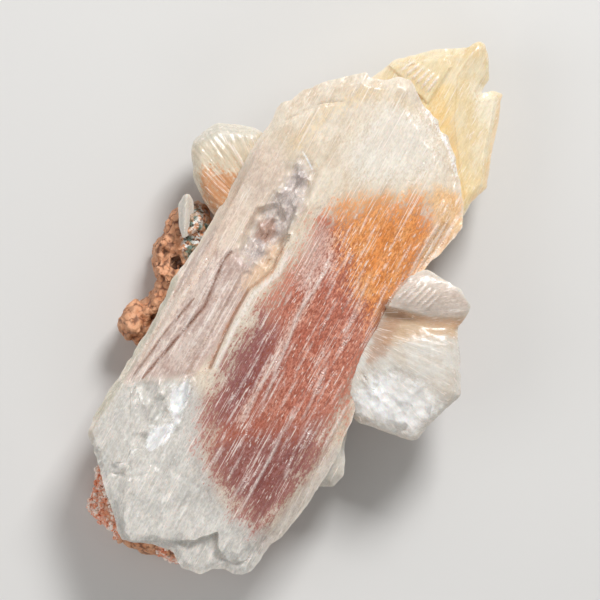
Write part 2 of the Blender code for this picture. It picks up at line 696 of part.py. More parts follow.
def radial_lines(root, outline, start, count, turn, step):
    """Lines that spread from a root over a turn in degrees, clipped to an outline."""
    lines = []
    for index in range(count):
        angle = math.radians(turn[0] + (turn[1] - turn[0]) * index / (count - 1))
        line = []
        reach = start
        while reach < 34.0:
            point = (root[0] + reach * math.cos(angle), root[1] + reach * math.sin(angle))
            if outside(*point, outline) < -0.5:
                line.append(point)
            reach += step
        if len(line) > 1:
            lines.append(line)
    return lines


def sheaf_back(x, y):
    """The sheaf's blades spread upwards and outwards from the rock."""
    away = math.hypot(x - SHEAF_ROOT[0], y - SHEAF_ROOT[1])
    spread = SHEAF_BACK_SLOPE * max(away - 5.0, 0.0)
    return SHEAF_BACK + spread + 1.5 * fall(-outside(x, y, SHEAF_OUTLINE), 2.0)


def right_sheaf():
    lines = radial_lines(SHEAF_RIB_ROOT, SHEAF_OUTLINE, 6.0, SHEAF_RIBS, SHEAF_RIB_TURN, 3.4)

    def front(x, y):
        wave = radial_wave(x, y, SHEAF_RIB_ROOT, SHEAF_RIBS, SHEAF_RIB_TURN)
        return sheaf_front(x, y) + SHEAF_RIB_HEIGHT * wave

    lines += plate_lines(SHEAF_LOBE, SHEAF_LOBE_RUN) + plate_lines(SHEAF_BROKEN, SHEAF_BROKEN_RUN)
    leaves = [(0.22, 0.3), (0.28, 0.0), (0.55, 0.5), (0.6, 0.15)]
    return slab("right_sheaf", SHEAF_OUTLINE, front, sheaf_back, PEARL, lines=lines,
                back_points=lattice(SHEAF_OUTLINE, 2.8), leaves=leaves)


def fan_back(x, y):
    return FAN_BACK + FAN_BACK_BEVEL * fall(-outside(x, y, FAN_OUTLINE), FAN_BACK_BEVEL_RUN)


def upper_left_fan():
    lines = radial_lines(FAN_ROOT, FAN_OUTLINE, 2.5, FAN_RIBS, FAN_RIB_TURN, 2.6)

    def front(x, y):
        reach = math.hypot(x - FAN_ROOT[0], y - FAN_ROOT[1])
        angle = math.degrees(math.atan2(y - FAN_ROOT[1], x - FAN_ROOT[0]))
        dome = FAN_FRONT - 0.012 * (reach - 7.0) ** 2 - 0.0006 * (angle - 100.0) ** 2
        dome += FAN_RIB_HEIGHT * radial_wave(x, y, FAN_ROOT, FAN_RIBS, FAN_RIB_TURN)
        return dome - 1.5 * fall(-outside(x, y, FAN_OUTLINE), 1.6)

    leaves = [(0.3, 0.25), (0.36, 0.0), (0.7, 0.4)]
    return slab("upper_left_fan", FAN_OUTLINE, front, fan_back, CREAM, lines=lines,
                back_points=lattice(FAN_OUTLINE, 2.8), leaves=leaves)


def white_back(x, y):
    return WHITE_BACK


def small_white_crystal():
    def front(x, y):
        height = WHITE_FRONT - WHITE_SLOPE * abs(x - WHITE_RIDGE)
        return height - 0.5 * fall(-outside(x, y, WHITE_OUTLINE), 0.8)

    return slab("small_white_crystal", WHITE_OUTLINE, front, white_back, PEARL,
                lines=[[(-16.9, 16.4), (-16.6, 12.0)]], leaves=[(0.5, 0.2)])


def lower_back(x, y):
    return LOWER_BACK + LOWER_BACK_BEVEL * fall(-outside(x, y, LOWER_OUTLINE), 2.0)


def lower_right_blade():
    def front(x, y):
        across = along_across(x, y)[1]
        wave = 0.12 * math.sin(4.0 * across)
        return LOWER_FRONT + wave - LOWER_BEVEL * fall(-outside(x, y, LOWER_OUTLINE), 1.2)

    return slab("lower_right_blade", LOWER_OUTLINE, front, lower_back, PEARL,
                points=lattice(LOWER_OUTLINE, 1.5), back_points=lattice(LOWER_OUTLINE, 3.0),
                leaves=[(0.4, 0.3), (0.46, 0.0)])


def add_lump(mesh, centre, radius, height, detail):
    made = bmesh.ops.create_icosphere(mesh, subdivisions=detail, radius=1.0)
    for vert in made["verts"]:
        vert.co = Vector((vert.co.x * radius, vert.co.y * radius, vert.co.z * height)) + Vector(centre)


def rock_lumps():
    """The rock as overlapping lumps: big masses, then rows of small rounded ones."""
    rng = random.Random(11)
    mesh = bmesh.new()
    for centre, radius, height in ROCK_MASSES + ROCK_BRIDGES:
        add_lump(mesh, centre, radius, height, 3)
    for path, radius, count in ROCK_ROWS:
        for index in range(count):
            place = (len(path) - 1) * index / (count - 1)
            leg = min(int(place), len(path) - 2)
            centre = Vector(path[leg]).lerp(Vector(path[leg + 1]), place - leg)
            jitter = Vector((rng.uniform(-0.5, 0.5), rng.uniform(-0.5, 0.5), rng.uniform(-1.0, 1.4)))
            size = radius * rng.uniform(0.75, 1.1)
            add_lump(mesh, centre + jitter, size, size, 2)
            add_lump(mesh, centre + jitter - Vector((-0.8, 0.0, 2.4)), size * 1.3, size * 1.9, 2)
    return mesh


def matrix():
    """The matrix: lumps melted into one rock, roughened, and broken flat below."""
    rock = finish("matrix", rock_lumps(), RUST, 0.85)
    melt = rock.modifiers.new("melt", "REMESH")
    melt.mode = "VOXEL"
    melt.voxel_size = ROCK_VOXEL * MM
    bake_modifiers(rock)
    for vert in rock.data.vertices:
        spot = vert.co / MM
        push = sum(noise.noise(spot * scale) * reach for scale, reach in ROCK_ROUGHNESS)
        vert.co += vert.normal * push * MM
    thin = rock.modifiers.new("thin", "DECIMATE")
    thin.ratio = ROCK_TRIANGLES / (2 * len(rock.data.polygons))
    bake_modifiers(rock)
    mesh = bmesh.new()
    mesh.from_mesh(rock.data)
    cut_below(mesh)
    mesh.to_mesh(rock.data)
    mesh.free()
    return rock


def bake_modifiers(piece):
    """Leaves a piece with the mesh that its modifiers make."""
    depsgraph = bpy.context.evaluated_depsgraph_get()
    data = bpy.data.meshes.new_from_object(piece.evaluated_get(depsgraph))
    piece.modifiers.clear()
    mesh = bmesh.new()
    mesh.from_mesh(data)
    bpy.data.meshes.remove(data)
    mesh.to_mesh(piece.data)
    mesh.free()


def cut_below(mesh):
    """Breaks the rock flat at the height where it rests."""
    whole = list(mesh.verts) + list(mesh.edges) + list(mesh.faces)
    bmesh.ops.bisect_plane(mesh, geom=whole, plane_co=(0, 0, 0), plane_no=(0, 0, 1),
                           clear_inner=True, dist=0.002 * MM)
    rim = [edge for edge in mesh.edges if edge.is_boundary]
    filled = bmesh.ops.holes_fill(mesh, edges=rim, sides=0)
    bmesh.ops.triangulate(mesh, faces=filled["faces"])
    bmesh.ops.triangulate(mesh, faces=mesh.faces)


def clearance(name, outline, back):
    """Everything above a crystal's back, a gap larger, to cut the rock clear of it."""
    grown = offset_outline(outline, GAP)

    def top(x, y):
        return CLEARANCE_TOP

    def low(x, y):
        return back(x, y) - GAP

    return slab(name, grown, top, low, CREAM, back_points=lattice(grown, 1.8))


def build_cluster():
    main_blade()
    keep_off = blade_clearance()
    golden = golden_tip()
    sheaf = right_sheaf()
    fan = upper_left_fan()
    small_white_crystal()
    lower = lower_right_blade()
    rock = matrix()
    for piece in (golden, sheaf, fan, lower):
        cut_clear(piece, [keep_off])
    cutters = [
        keep_off,
        clearance("golden_clearance", GOLDEN_OUTLINE, golden_back),
        clearance("sheaf_clearance", SHEAF_OUTLINE, sheaf_back),
        clearance("fan_clearance", FAN_OUTLINE, fan_back),
        clearance("white_clearance", WHITE_OUTLINE, white_back),
        clearance("lower_clearance", LOWER_OUTLINE, lower_back),
    ]
    cut_clear(rock, cutters)
    for cutter in cutters:
        bpy.data.objects.remove(cutter)


for leftover in list(bpy.data.objects):
    bpy.data.objects.remove(leftover)
build_cluster()
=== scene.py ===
"""A stilbite cluster lying on its back, dressed for its portrait.

Every crystal is a slab grown from an outline: a front relief of plates, ledges, grooves
and striae, a ribbed back, and an edge of thin leaves. The matrix is a lumpy rock with a
grown-over crust. Plan sizes are in millimetres, +Y runs up the specimen and +Z comes
out of its best side. Heights are taken from the frame's own nodes.
"""

import math
import random

import bmesh
import bpy
import numpy as np
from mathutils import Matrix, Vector, noise
from mathutils.geometry import delaunay_2d_cdt


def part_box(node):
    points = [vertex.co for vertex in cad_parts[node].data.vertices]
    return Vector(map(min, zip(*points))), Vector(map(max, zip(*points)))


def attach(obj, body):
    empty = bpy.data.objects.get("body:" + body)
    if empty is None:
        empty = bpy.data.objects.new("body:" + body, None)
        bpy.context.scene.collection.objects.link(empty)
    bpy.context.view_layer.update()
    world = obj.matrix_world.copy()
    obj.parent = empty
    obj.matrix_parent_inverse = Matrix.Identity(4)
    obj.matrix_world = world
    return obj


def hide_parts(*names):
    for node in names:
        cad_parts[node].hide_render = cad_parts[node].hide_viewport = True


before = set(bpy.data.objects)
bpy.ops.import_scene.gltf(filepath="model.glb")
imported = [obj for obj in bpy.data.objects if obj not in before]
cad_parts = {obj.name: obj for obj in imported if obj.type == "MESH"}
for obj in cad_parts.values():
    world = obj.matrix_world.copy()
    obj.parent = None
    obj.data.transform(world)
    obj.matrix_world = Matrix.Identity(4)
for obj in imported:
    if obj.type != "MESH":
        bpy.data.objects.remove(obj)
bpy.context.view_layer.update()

MM = 0.001


def node_heights(name):
    """The lowest and highest point of a frame node, in millimetres."""
    low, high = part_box(name)
    return low[2] / MM, high[2] / MM


BLADE_LOW, BLADE_HIGH = node_heights("main_blade")
GOLDEN_LOW, GOLDEN_HIGH = node_heights("golden_tip")
SHEAF_LOW, SHEAF_HIGH = node_heights("right_sheaf")
FAN_LOW, FAN_HIGH = node_heights("upper_left_fan")
WHITE_LOW, WHITE_HIGH = node_heights("small_white_crystal")
LOWER_LOW, LOWER_HIGH = node_heights("lower_right_blade")

AXIS_TILT = math.radians(61.0)          # from +X to the main blade's long axis
FACE_LEVEL = BLADE_HIGH - 1.35
STEP_ALONG = 0.34                       # mesh spacing along the striae
STEP_ACROSS = 0.155                     # and across them, fine enough for each stria
BACK_STEPS = (1.6, 0.6)                 # the same on the plainer backs
RIM_STEP = 0.3                          # and round every edge
SHARP_EDGE = 32.0                       # degrees; steeper folds stay crisp
LEDGE_RUN = 0.4                         # how wide the riser round the face plate is
FOOT_DROP = -1.1                        # the broken foot below the face
NOISE_CELLS = 64                        # cells before a noise table repeats

# Outlines in plan

BLADE_OUTLINE = [
    (-31.4, -19.0), (-30.7, -16.7), (-28.4, -13.0), (-25.9, -8.9), (-22.9, -4.2), (-20.2, 0.8),
    (-19.0, 4.0), (-17.0, 6.4), (-14.6, 10.1), (-12.4, 13.7), (-9.5, 18.7), (-6.7, 23.8),
    (-4.9, 26.5), (-2.2, 30.8), (-0.7, 31.3), (1.1, 32.8), (6.1, 34.7), (10.7, 35.5),
    (11.2, 34.6), (13.3, 34.3), (15.4, 34.7), (17.3, 34.3), (19.4, 30.4), (21.5, 28.0),
    (21.8, 26.5), (23.0, 25.9), (24.2, 22.1), (24.8, 18.4), (25.4, 15.7), (25.1, 11.6),
    (21.5, 7.7), (19.9, 6.1), (16.7, 0.4), (13.1, -6.4), (9.4, -14.6), (6.7, -21.7),
    (5.2, -24.7), (1.7, -29.8), (-2.0, -34.7), (-3.7, -35.8), (-6.7, -39.8), (-8.0, -40.3),
    (-9.4, -40.2), (-10.7, -39.5), (-12.4, -39.5), (-14.3, -40.1), (-17.3, -39.4),
    (-18.5, -36.5), (-21.4, -35.7), (-24.7, -35.5), (-26.3, -35.0), (-27.5, -31.1),
    (-29.5, -24.7), (-30.7, -20.9),
]
FACE_PLATE = [
    (-2.3, 29.3), (1.4, 31.9), (8.2, 34.1), (10.9, 34.1), (13.3, 33.5), (16.4, 33.5),
    (17.9, 31.4), (20.2, 28.4), (22.6, 25.0), (23.9, 17.6), (24.1, 13.9), (21.7, 9.7),
    (17.9, 5.3), (11.9, -5.9), (8.8, -13.1), (5.9, -19.4), (2.5, -25.6), (-5.0, -35.6),
    (-7.9, -38.2), (-10.1, -38.3), (-11.5, -36.1), (-11.6, -33.5), (-15.2, -34.9),
    (-20.3, -35.0), (-24.7, -35.0), (-25.7, -33.4), (-25.0, -23.8), (-21.8, -22.1),
    (-17.5, -18.1), (-15.8, -10.4), (-12.7, -9.5), (-9.5, -2.0), (-6.7, 2.9), (-3.1, 5.9),
    (-1.6, 10.6), (1.1, 16.9), (0.7, 20.6), (-4.1, 25.1),
]
STRIP_PATCH = [
    (-16.5, 6.5), (-12.0, 13.0), (-9.5, 9.6), (-6.0, 6.0), (-8.0, 0.4), (-12.5, -7.4),
    (-15.8, -10.4), (-23.0, -10.9), (-26.0, -11.0), (-22.0, -4.0), (-19.0, 2.0),
]
IRON_ZONE = [
    (4.4, 13.6), (11.9, 14.6), (18.7, 15.0), (20.4, 11.9), (19.6, 8.6), (14.9, -1.0),
    (9.4, -11.2), (5.6, -18.6), (2.2, -24.2), (-2.8, -30.4), (-5.4, -33.4), (-7.6, -30.6),
    (-11.2, -27.0), (-13.6, -21.6), (-13.4, -16.6), (-12.2, -12.4), (-8.3, -4.9), (-3.1, 2.6),
    (0.7, 7.6),
]
RIGHT_SLOPE = [
    (20.6, 18.5), (24.6, 17.0), (25.5, 11.0), (21.8, 7.0), (18.4, 3.2), (16.6, 0.8), (17.9, 6.4),
    (20.9, 11.6),
]
LEFT_SLAB = [
    (-30.6, -18.3), (-28.4, -14.4), (-26.0, -11.4), (-24.8, -12.0), (-24.9, -16.9),
    (-24.6, -20.9), (-25.4, -23.2), (-27.4, -23.3), (-28.2, -21.7), (-29.8, -20.8),
]
BREAK_HOLLOW = [
    (-15.9, -10.9), (-21.8, -11.9), (-24.3, -12.6), (-24.1, -20.5), (-21.8, -21.4),
    (-19.4, -19.6), (-17.8, -17.7),
]
# Cleavage facets in the hollow: outline, height above it, and slope to the right and up.
BREAK_FACETS = [
    ([(-18.5, -12.4), (-16.2, -11.2), (-16.2, -12.8), (-17.3, -15.1), (-18.2, -14.5)], 0.45,
     (0.10, 0.30)),
    ([(-18.1, -17.7), (-22.4, -19.0), (-22.2, -20.7), (-19.5, -19.2)], 0.45, (0.06, 0.34)),
    ([(-23.9, -13.0), (-20.3, -12.6), (-19.4, -13.9), (-21.4, -17.2), (-23.7, -16.9)], 0.1,
     (-0.12, 0.10)),
]
PIT = [
    (-5.2, 14.3), (-3.0, 15.0), (-2.2, 12.9), (-2.9, 10.4), (-4.6, 8.6), (-6.1, 7.9),
    (-7.6, 8.6), (-6.8, 11.6),
]
GREY_PATCH = [
    (-8.3, 8.6), (-5.0, 13.9), (-1.6, 19.1), (0.7, 22.1), (2.2, 19.9), (1.4, 16.1),
    (-0.8, 12.4), (-1.9, 10.1), (-4.6, 6.8), (-6.8, 5.9),
]
# The strips left of the face plate: place across the axis, level against the face.
STRIP_LEVELS = ((-19.0, -4.05), (-16.4, -2.75), (-16.0, -1.85), (-12.9, -1.15), (-9.6, -0.75),
                (-9.2, -1.15), (-6.0, -0.95), (17.0, -0.95))
# Grooves and ridges: path, height, half width.
GROOVES = [
    ([(-9.5, 8.6), (-10.9, 7.1), (-13.6, 0.2), (-17.0, -3.7), (-23.0, -10.6)], -0.45, 0.4),
    ([(-15.2, 1.4), (-19.3, -3.4), (-24.2, -10.0)], -0.35, 0.35),
    ([(-16.3, 6.3), (-18.2, 2.0), (-20.6, -3.0), (-26.3, -11.2)], -0.45, 0.4),
    ([(-8.0, 5.0), (-12.2, -3.2), (-17.0, -9.8)], -0.25, 0.3),
    ([(-11.2, 11.0), (-13.4, 6.0), (-14.9, 4.0)], -0.25, 0.3),
    ([(-9.8, 3.6), (-14.4, -4.6), (-18.6, -10.2)], 0.22, 0.3),
    ([(-12.6, 4.4), (-15.0, -0.6), (-20.4, -8.6)], 0.2, 0.3),
    ([(-2.4, 27.6), (4.0, 30.6), (7.7, 30.9)], -0.3, 0.4),
]
FOOT_LINES = [
    ([(-24.8, -22.4), (-24.6, -28.0), (-24.8, -34.9)], -0.2, 0.35),
    ([(-22.4, -23.2), (-18.4, -24.4), (-15.1, -26.6), (-11.3, -29.6), (-12.8, -34.9)], -0.14, 0.8),
    ([(-28.6, -24.6), (-25.0, -25.6), (-21.4, -24.8)], -0.2, 0.4),
    ([(-16.9, -21.4), (-20.4, -28.4)], 0.2, 0.3),
    ([(-14.6, -24.4), (-19.3, -33.4)], 0.18, 0.3),
    ([(-9.0, -33.0), (-12.0, -38.6)], 0.2, 0.3),
    ([(-6.6, -33.4), (-9.4, -38.8)], 0.18, 0.3),
]
LONG_RIDGES = [
    ([(3.1, 5.6), (-5.8, -16.7)], 0.40, 0.32),
    ([(5.5, 6.8), (-0.5, -2.2)], 0.30, 0.28),
    ([(-1.1, -4.1), (-8.6, -17.6)], 0.32, 0.28),
    ([(11.5, 5.6), (6.7, -5.6)], 0.30, 0.26),
    ([(5.2, -7.9), (0.7, -17.6)], 0.28, 0.26),
    ([(0.7, -13.9), (-5.0, -24.4)], 0.28, 0.26),
    ([(-2.3, -19.9), (-9.1, -31.9)], 0.30, 0.28),
    ([(8.2, -13.9), (3.7, -22.1)], 0.26, 0.26),
    ([(22.0, 13.9), (16.4, 3.7)], 0.36, 0.3),
    ([(20.2, 8.6), (13.9, -1.6)], 0.34, 0.3),
    ([(-10.6, -19.9), (-13.6, -25.1)], 0.24, 0.24),
    ([(-6.8, -24.4), (-10.1, -29.6)], 0.24, 0.24),
]

GOLDEN_OUTLINE = [
    (11.2, 34.6), (12.8, 35.6), (14.6, 37.4), (18.1, 38.2), (21.5, 39.2), (25.0, 39.2),
    (27.8, 40.3), (28.7, 39.8), (29.2, 38.0), (29.4, 34.5), (28.1, 32.4), (29.8, 32.9),
    (31.4, 32.3), (31.1, 30.7), (30.7, 27.8), (30.0, 24.9), (29.2, 20.3), (29.0, 18.0),
    (26.7, 16.0), (25.3, 13.7), (19.0, 12.8), (12.5, 15.0), (9.0, 21.0), (8.5, 29.0),
]
GOLDEN_RIDGE = [(27.4, 39.4), (24.4, 34.9), (23.9, 28.1), (24.7, 21.4), (25.6, 15.4)]
GOLDEN_FACET = [(14.4, 36.4), (22.4, 37.6), (23.2, 36.2), (19.9, 31.0), (18.0, 32.8)]

SHEAF_OUTLINE = [
    (19.7, 5.9), (21.5, 4.6), (25.0, 2.9), (26.5, 0.1), (25.4, -1.9), (24.4, -3.4),
    (24.6, -5.2), (25.0, -10.1), (24.9, -13.3), (21.7, -16.1), (18.4, -19.9), (17.3, -20.2),
    (12.8, -18.5), (9.5, -17.4), (7.4, -15.5), (5.2, -11.5), (5.2, -3.0), (9.0, 2.6),
    (14.9, 2.8), (17.2, 5.1),
]
SHEAF_LOBE = [
    (19.3, 5.4), (21.4, 4.1), (23.5, 3.2), (25.6, 1.0), (25.9, 0.1), (24.9, -1.4),
    (21.2, -1.2), (16.7, -0.4), (13.9, 0.2), (15.1, 2.2), (17.3, 4.7),
]
SHEAF_BROKEN = [
    (7.9, -15.5), (9.2, -12.8), (11.9, -9.7), (15.1, -9.8), (19.3, -11.8), (21.4, -14.9),
    (20.1, -16.8), (17.3, -18.9), (12.8, -17.3),
]
SHEAF_ROOT = (4.0, -1.0)

FAN_OUTLINE = [
    (-5.0, 26.5), (-6.5, 27.3), (-8.9, 27.8), (-11.9, 28.0), (-13.2, 27.1), (-14.5, 26.3),
    (-15.5, 25.1), (-15.9, 23.7), (-15.6, 21.3), (-15.7, 20.0), (-14.6, 17.4),
    (-13.7, 15.5), (-11.9, 13.6), (-8.6, 13.6), (-3.8, 22.0),
]
FAN_ROOT = (-10.2, 11.8)
FAN_STRIAE_ROOT = (1.0, 6.0)            # the fan's striae spread from behind the main blade

WHITE_OUTLINE = [
    (-16.2, 17.4), (-17.1, 17.1), (-17.8, 15.6), (-17.8, 12.4), (-17.1, 10.4),
    (-16.2, 10.8), (-15.3, 14.4), (-15.4, 16.2),
]
LOWER_OUTLINE = [
    (8.0, -18.2), (7.4, -21.5), (7.6, -23.8), (7.3, -25.6), (5.7, -27.2), (3.6, -27.1),
    (-1.6, -27.8), (-2.6, -22.0), (1.0, -17.4), (5.0, -16.2),
]

# The rock: big masses, the low rock that carries the lumps, and rows of lumps.

ROCK_MASSES = [
    ((-11.0, 4.0, 2.6), 9.5, 6.0), ((-15.0, -8.0, 2.4), 9.5, 6.0), ((-17.5, -21.0, 2.4), 9.5, 6.0),
    ((-4.0, 8.5, 2.4), 8.0, 5.6), ((-2.5, -3.0, 2.4), 8.5, 6.0), ((-8.0, -17.0, 2.4), 9.0, 6.0),
    ((-20.0, -31.0, 3.0), 6.8, 5.6), ((-11.5, -30.0, 2.6), 7.5, 5.2), ((-16.5, -0.5, 3.0), 6.0, 6.5),
    ((6.5, -5.0, 2.0), 7.5, 5.5), ((14.6, -8.4, 1.8), 6.4, 5.5), ((2.0, 8.0, 2.2), 6.0, 5.0),
]
ROCK_ROWS = [
    ([(-18.3, 12.2, 7.0), (-19.4, 9.0, 8.0), (-19.4, 5.0, 8.4), (-19.0, 2.4, 8.0)], 1.75, 13),
    ([(-19.5, 1.6, 7.0), (-21.4, -0.4, 7.6), (-24.4, -1.2, 7.6), (-24.6, -3.2, 7.0)], 1.5, 10),
    ([(-16.2, 14.3, 9.0), (-15.4, 11.4, 10.0), (-16.9, 7.8, 9.4)], 1.5, 9),
    ([(-28.0, -25.4, 7.0), (-29.2, -28.6, 7.4), (-28.9, -30.2, 7.0), (-26.9, -32.4, 7.0)], 1.55, 12),
    ([(-25.8, -34.6, 5.0), (-19.6, -36.4, 4.6), (-18.9, -37.3, 4.6)], 1.3, 7),
]
ROCK_BRIDGES = [
    ((-17.5, 8.0, 3.6), 4.6, 6.2), ((-21.6, -2.6, 3.0), 3.8, 5.6),
    ((-25.6, -28.6, 3.2), 4.3, 5.4), ((-16.0, 12.2, 3.6), 3.0, 6.0),
]
ROCK_VOXEL = 0.27                       # the crust's finest detail
BEADS_PER_LUMP = 34
DRUSE = (-28.6, -29.5)                  # the middle of the pink druse, in plan
FOOT_DRUSE = (-19.2, -37.2)             # and of the grains below the foot
SPECKLED = (-15.0, 10.6)                # the middle of the green and white patch
DRUSE_GRAINS = 620

# Plan geometry on arrays of points


def along_across(points):
    """Distances along and across the main blade's long axis."""
    x, y = points[:, 0], points[:, 1]
    along = x * math.cos(AXIS_TILT) + y * math.sin(AXIS_TILT)
    across = x * math.sin(AXIS_TILT) - y * math.cos(AXIS_TILT)
    return along, across


def in_chunks(measure, points):
    """Runs a measure over a long array a few thousand points at a time."""
    size = 4000
    return np.concatenate([measure(points[i:i + size]) for i in range(0, len(points), size)])


def segment_distances(points, starts, ends):
    """Distance from each point to each segment, and the share along it."""
    run = ends - starts
    length = (run ** 2).sum(1)
    away = points[:, None, :] - starts[None]
    share = np.clip((away * run[None]).sum(2) / length, 0.0, 1.0)
    gap = away - share[..., None] * run[None]
    return np.sqrt((gap ** 2).sum(2)), share


def outside(points, outline):
    """Distance to a closed outline, below zero inside it."""
    starts = np.array(outline, float)
    ends = np.roll(starts, -1, axis=0)

    def measure(some):
        nearest = segment_distances(some, starts, ends)[0].min(1)
        x, y = some[:, 0, None], some[:, 1, None]
        spans = (starts[None, :, 1] > y) != (ends[None, :, 1] > y)
        rise = np.where(ends[:, 1] == starts[:, 1], 1e-9, ends[:, 1] - starts[:, 1])
        crossing = starts[:, 0] + (y - starts[:, 1]) / rise * (ends[:, 0] - starts[:, 0])
        inside = (spans & (crossing > x)).sum(1) % 2 == 1
        return np.where(inside, -nearest, nearest)

    return in_chunks(measure, points)


def beside(points, path):
    """Distance to an open path, and a fade to nothing at its two ends."""
    starts, ends = np.array(path[:-1], float), np.array(path[1:], float)

    def measure(some):
        distance, share = segment_distances(some, starts, ends)
        leg = distance.argmin(1)
        row = np.arange(len(some))
        place = share[row, leg]
        fade = np.ones(len(some))
        fade = np.where(leg == 0, np.minimum(fade, 4.0 * place), fade)
        fade = np.where(leg == len(starts) - 1, np.minimum(fade, 4.0 * (1.0 - place)), fade)
        return np.column_stack((distance[row, leg], fade))

    both = in_chunks(measure, points)
    return both[:, 0], both[:, 1]


def fall(distance, run):
    """One inside a plate, falling to nothing at the foot of its riser."""
    return np.clip(1.0 - distance / run, 0.0, 1.0)


def smooth(share):
    share = np.clip(share, 0.0, 1.0)
    return share * share * (3.0 - 2.0 * share)


def cloud(x, y, seed):
    """Smooth noise from about -1 to 1, one cell to a unit."""
    table = np.random.default_rng(seed).uniform(-1.0, 1.0, (NOISE_CELLS, NOISE_CELLS))
    ix, iy = np.floor(x).astype(int), np.floor(y).astype(int)
    fx, fy = smooth(x - ix), smooth(y - iy)

    def corner(dx, dy):
        return table[(ix + dx) % NOISE_CELLS, (iy + dy) % NOISE_CELLS]

    low = corner(0, 0) + (corner(1, 0) - corner(0, 0)) * fx
    high = corner(0, 1) + (corner(1, 1) - corner(0, 1)) * fx
    return low + (high - low) * fy


def broken_faces(x, y, cell, tilt, seed):
    """Facets of broken crystal, each with its own small tilt, that meet along creases."""
    rng = np.random.default_rng(seed)
    table = (NOISE_CELLS, NOISE_CELLS)
    shift = rng.uniform(0.1, 0.9, table + (2,))
    slope = rng.normal(0.0, tilt, table + (2,))
    rise = rng.uniform(-0.3, 0.3, table) * tilt * cell
    x, y = x / cell, y / cell
    ix, iy = np.floor(x).astype(int), np.floor(y).astype(int)
    height = np.full(x.shape, 1e9)
    for dx in (-1, 0, 1):
        for dy in (-1, 0, 1):
            a, b = (ix + dx) % NOISE_CELLS, (iy + dy) % NOISE_CELLS
            gap_x = x - (ix + dx + shift[a, b, 0])
            gap_y = y - (iy + dy + shift[a, b, 1])
            plane = (gap_x * slope[a, b, 0] + gap_y * slope[a, b, 1]) * cell + rise[a, b]
            height = np.minimum(height, plane + 1.4 * tilt * cell * (gap_x ** 2 + gap_y ** 2))
    return height


def striae(along, across, seed, height=1.0):
    """Growth striae: fine sharp ridges along a crystal that fade in and out."""
    total = np.zeros(len(along))
    for spacing, reach, share in ((1.7, 26.0, 0.07), (0.8, 12.0, 0.05), (0.4, 6.0, 0.05)):
        wave = cloud(along / reach + 7.3, across / spacing + 3.1, seed)
        total += share * (1.0 - 2.2 * np.abs(wave))
        seed += 1
    return height * total


def creases(points, paths):
    """Grooves and ridges added up, each a thin wedge that fades at its ends."""
    total = np.zeros(len(points))
    for path, height, half_width in paths:
        distance, fade = beside(points, path)
        total += height * fall(distance, half_width) * fade
    return total


def scratches(zone, count, seed, lean=3.0):
    """Short sharp ridges inside a zone, nearly along the main blade's axis."""
    rng = random.Random(seed)
    corners = np.array(zone)
    low, high = corners.min(axis=0), corners.max(axis=0)
    made = []
    while len(made) < count:
        start = np.array((rng.uniform(low[0], high[0]), rng.uniform(low[1], high[1])))
        turn = AXIS_TILT + math.radians(rng.uniform(-lean, lean))
        run = rng.uniform(1.2, 7.0) * np.array((math.cos(turn), math.sin(turn)))
        if outside(np.array((start, start + run)), zone).max() < 0.0:
            made.append(([tuple(start), tuple(start + run)], rng.uniform(0.06, 0.2),
                         rng.uniform(0.12, 0.2)))
    return made


def crest_lines(points, paths):
    """How much of a ridge's crest lies at each point."""
    return np.clip(creases(points, [(path, 1.0, width) for path, _, width in paths]), 0.0, 1.0)


def is_anticlockwise(outline):
    around = np.array(outline)
    after = np.roll(around, -1, axis=0)
    return (around[:, 0] * after[:, 1] - after[:, 0] * around[:, 1]).sum() > 0


def outward(ring):
    """Normals that point out of an anticlockwise ring, turning gradually at its corners."""
    along = np.roll(ring, -1, axis=0) - np.roll(ring, 1, axis=0)
    along /= np.linalg.norm(along, axis=1)[:, None]
    eased = sum(np.roll(along, shift, axis=0) for shift in range(-3, 4)) / 7.0
    return np.column_stack((eased[:, 1], -eased[:, 0]))


def ragged(outline, step, rough, seed, rounding=1):
    """An outline walked in small steps, its corners eased, with chips and waves in its edge."""
    corners = np.array(outline if is_anticlockwise(outline) else outline[::-1], float)
    ends = np.roll(corners, -1, axis=0)
    walked = []
    for start, end in zip(corners, ends):
        count = max(1, int(round(np.linalg.norm(end - start) / step)))
        walked.append(start + (end - start) * (np.arange(count) / count)[:, None])
    ring = np.concatenate(walked)
    for _ in range(rounding):
        ring = 0.5 * ring + 0.25 * (np.roll(ring, 1, axis=0) + np.roll(ring, -1, axis=0))
    place = np.arange(len(ring)) * step
    row = place * 0.0
    wave = 0.6 * cloud(place / 2.6, row, seed) + 0.4 * cloud(place / 0.9, row, seed + 1)
    chip = np.clip(cloud(place / 1.7, row, seed + 2) - 0.45, 0.0, 1.0) * 2.2
    return ring + outward(ring) * (rough * (wave - 0.5 - chip))[:, None]


def inner_lattice(outline, inset, step_along, step_across, seed=1, tilt=AXIS_TILT):
    """Mesh points in rows along an axis, inside an outline."""
    corners = np.array(outline, float)
    axis = np.array((math.cos(tilt), math.sin(tilt)))
    side = np.array((math.sin(tilt), -math.cos(tilt)))
    along, across = corners @ axis, corners @ side
    u, v = np.meshgrid(np.arange(along.min(), along.max(), step_along),
                       np.arange(across.min(), across.max(), step_across))
    u = u + (np.arange(u.shape[0]) % 2)[:, None] * step_along * 0.5
    rng = np.random.default_rng(seed)
    u = u + rng.uniform(-0.2, 0.2, u.shape) * step_along
    points = u.ravel()[:, None] * axis + v.ravel()[:, None] * side
    return points[outside(points, outline) < -inset]


# Mesh building


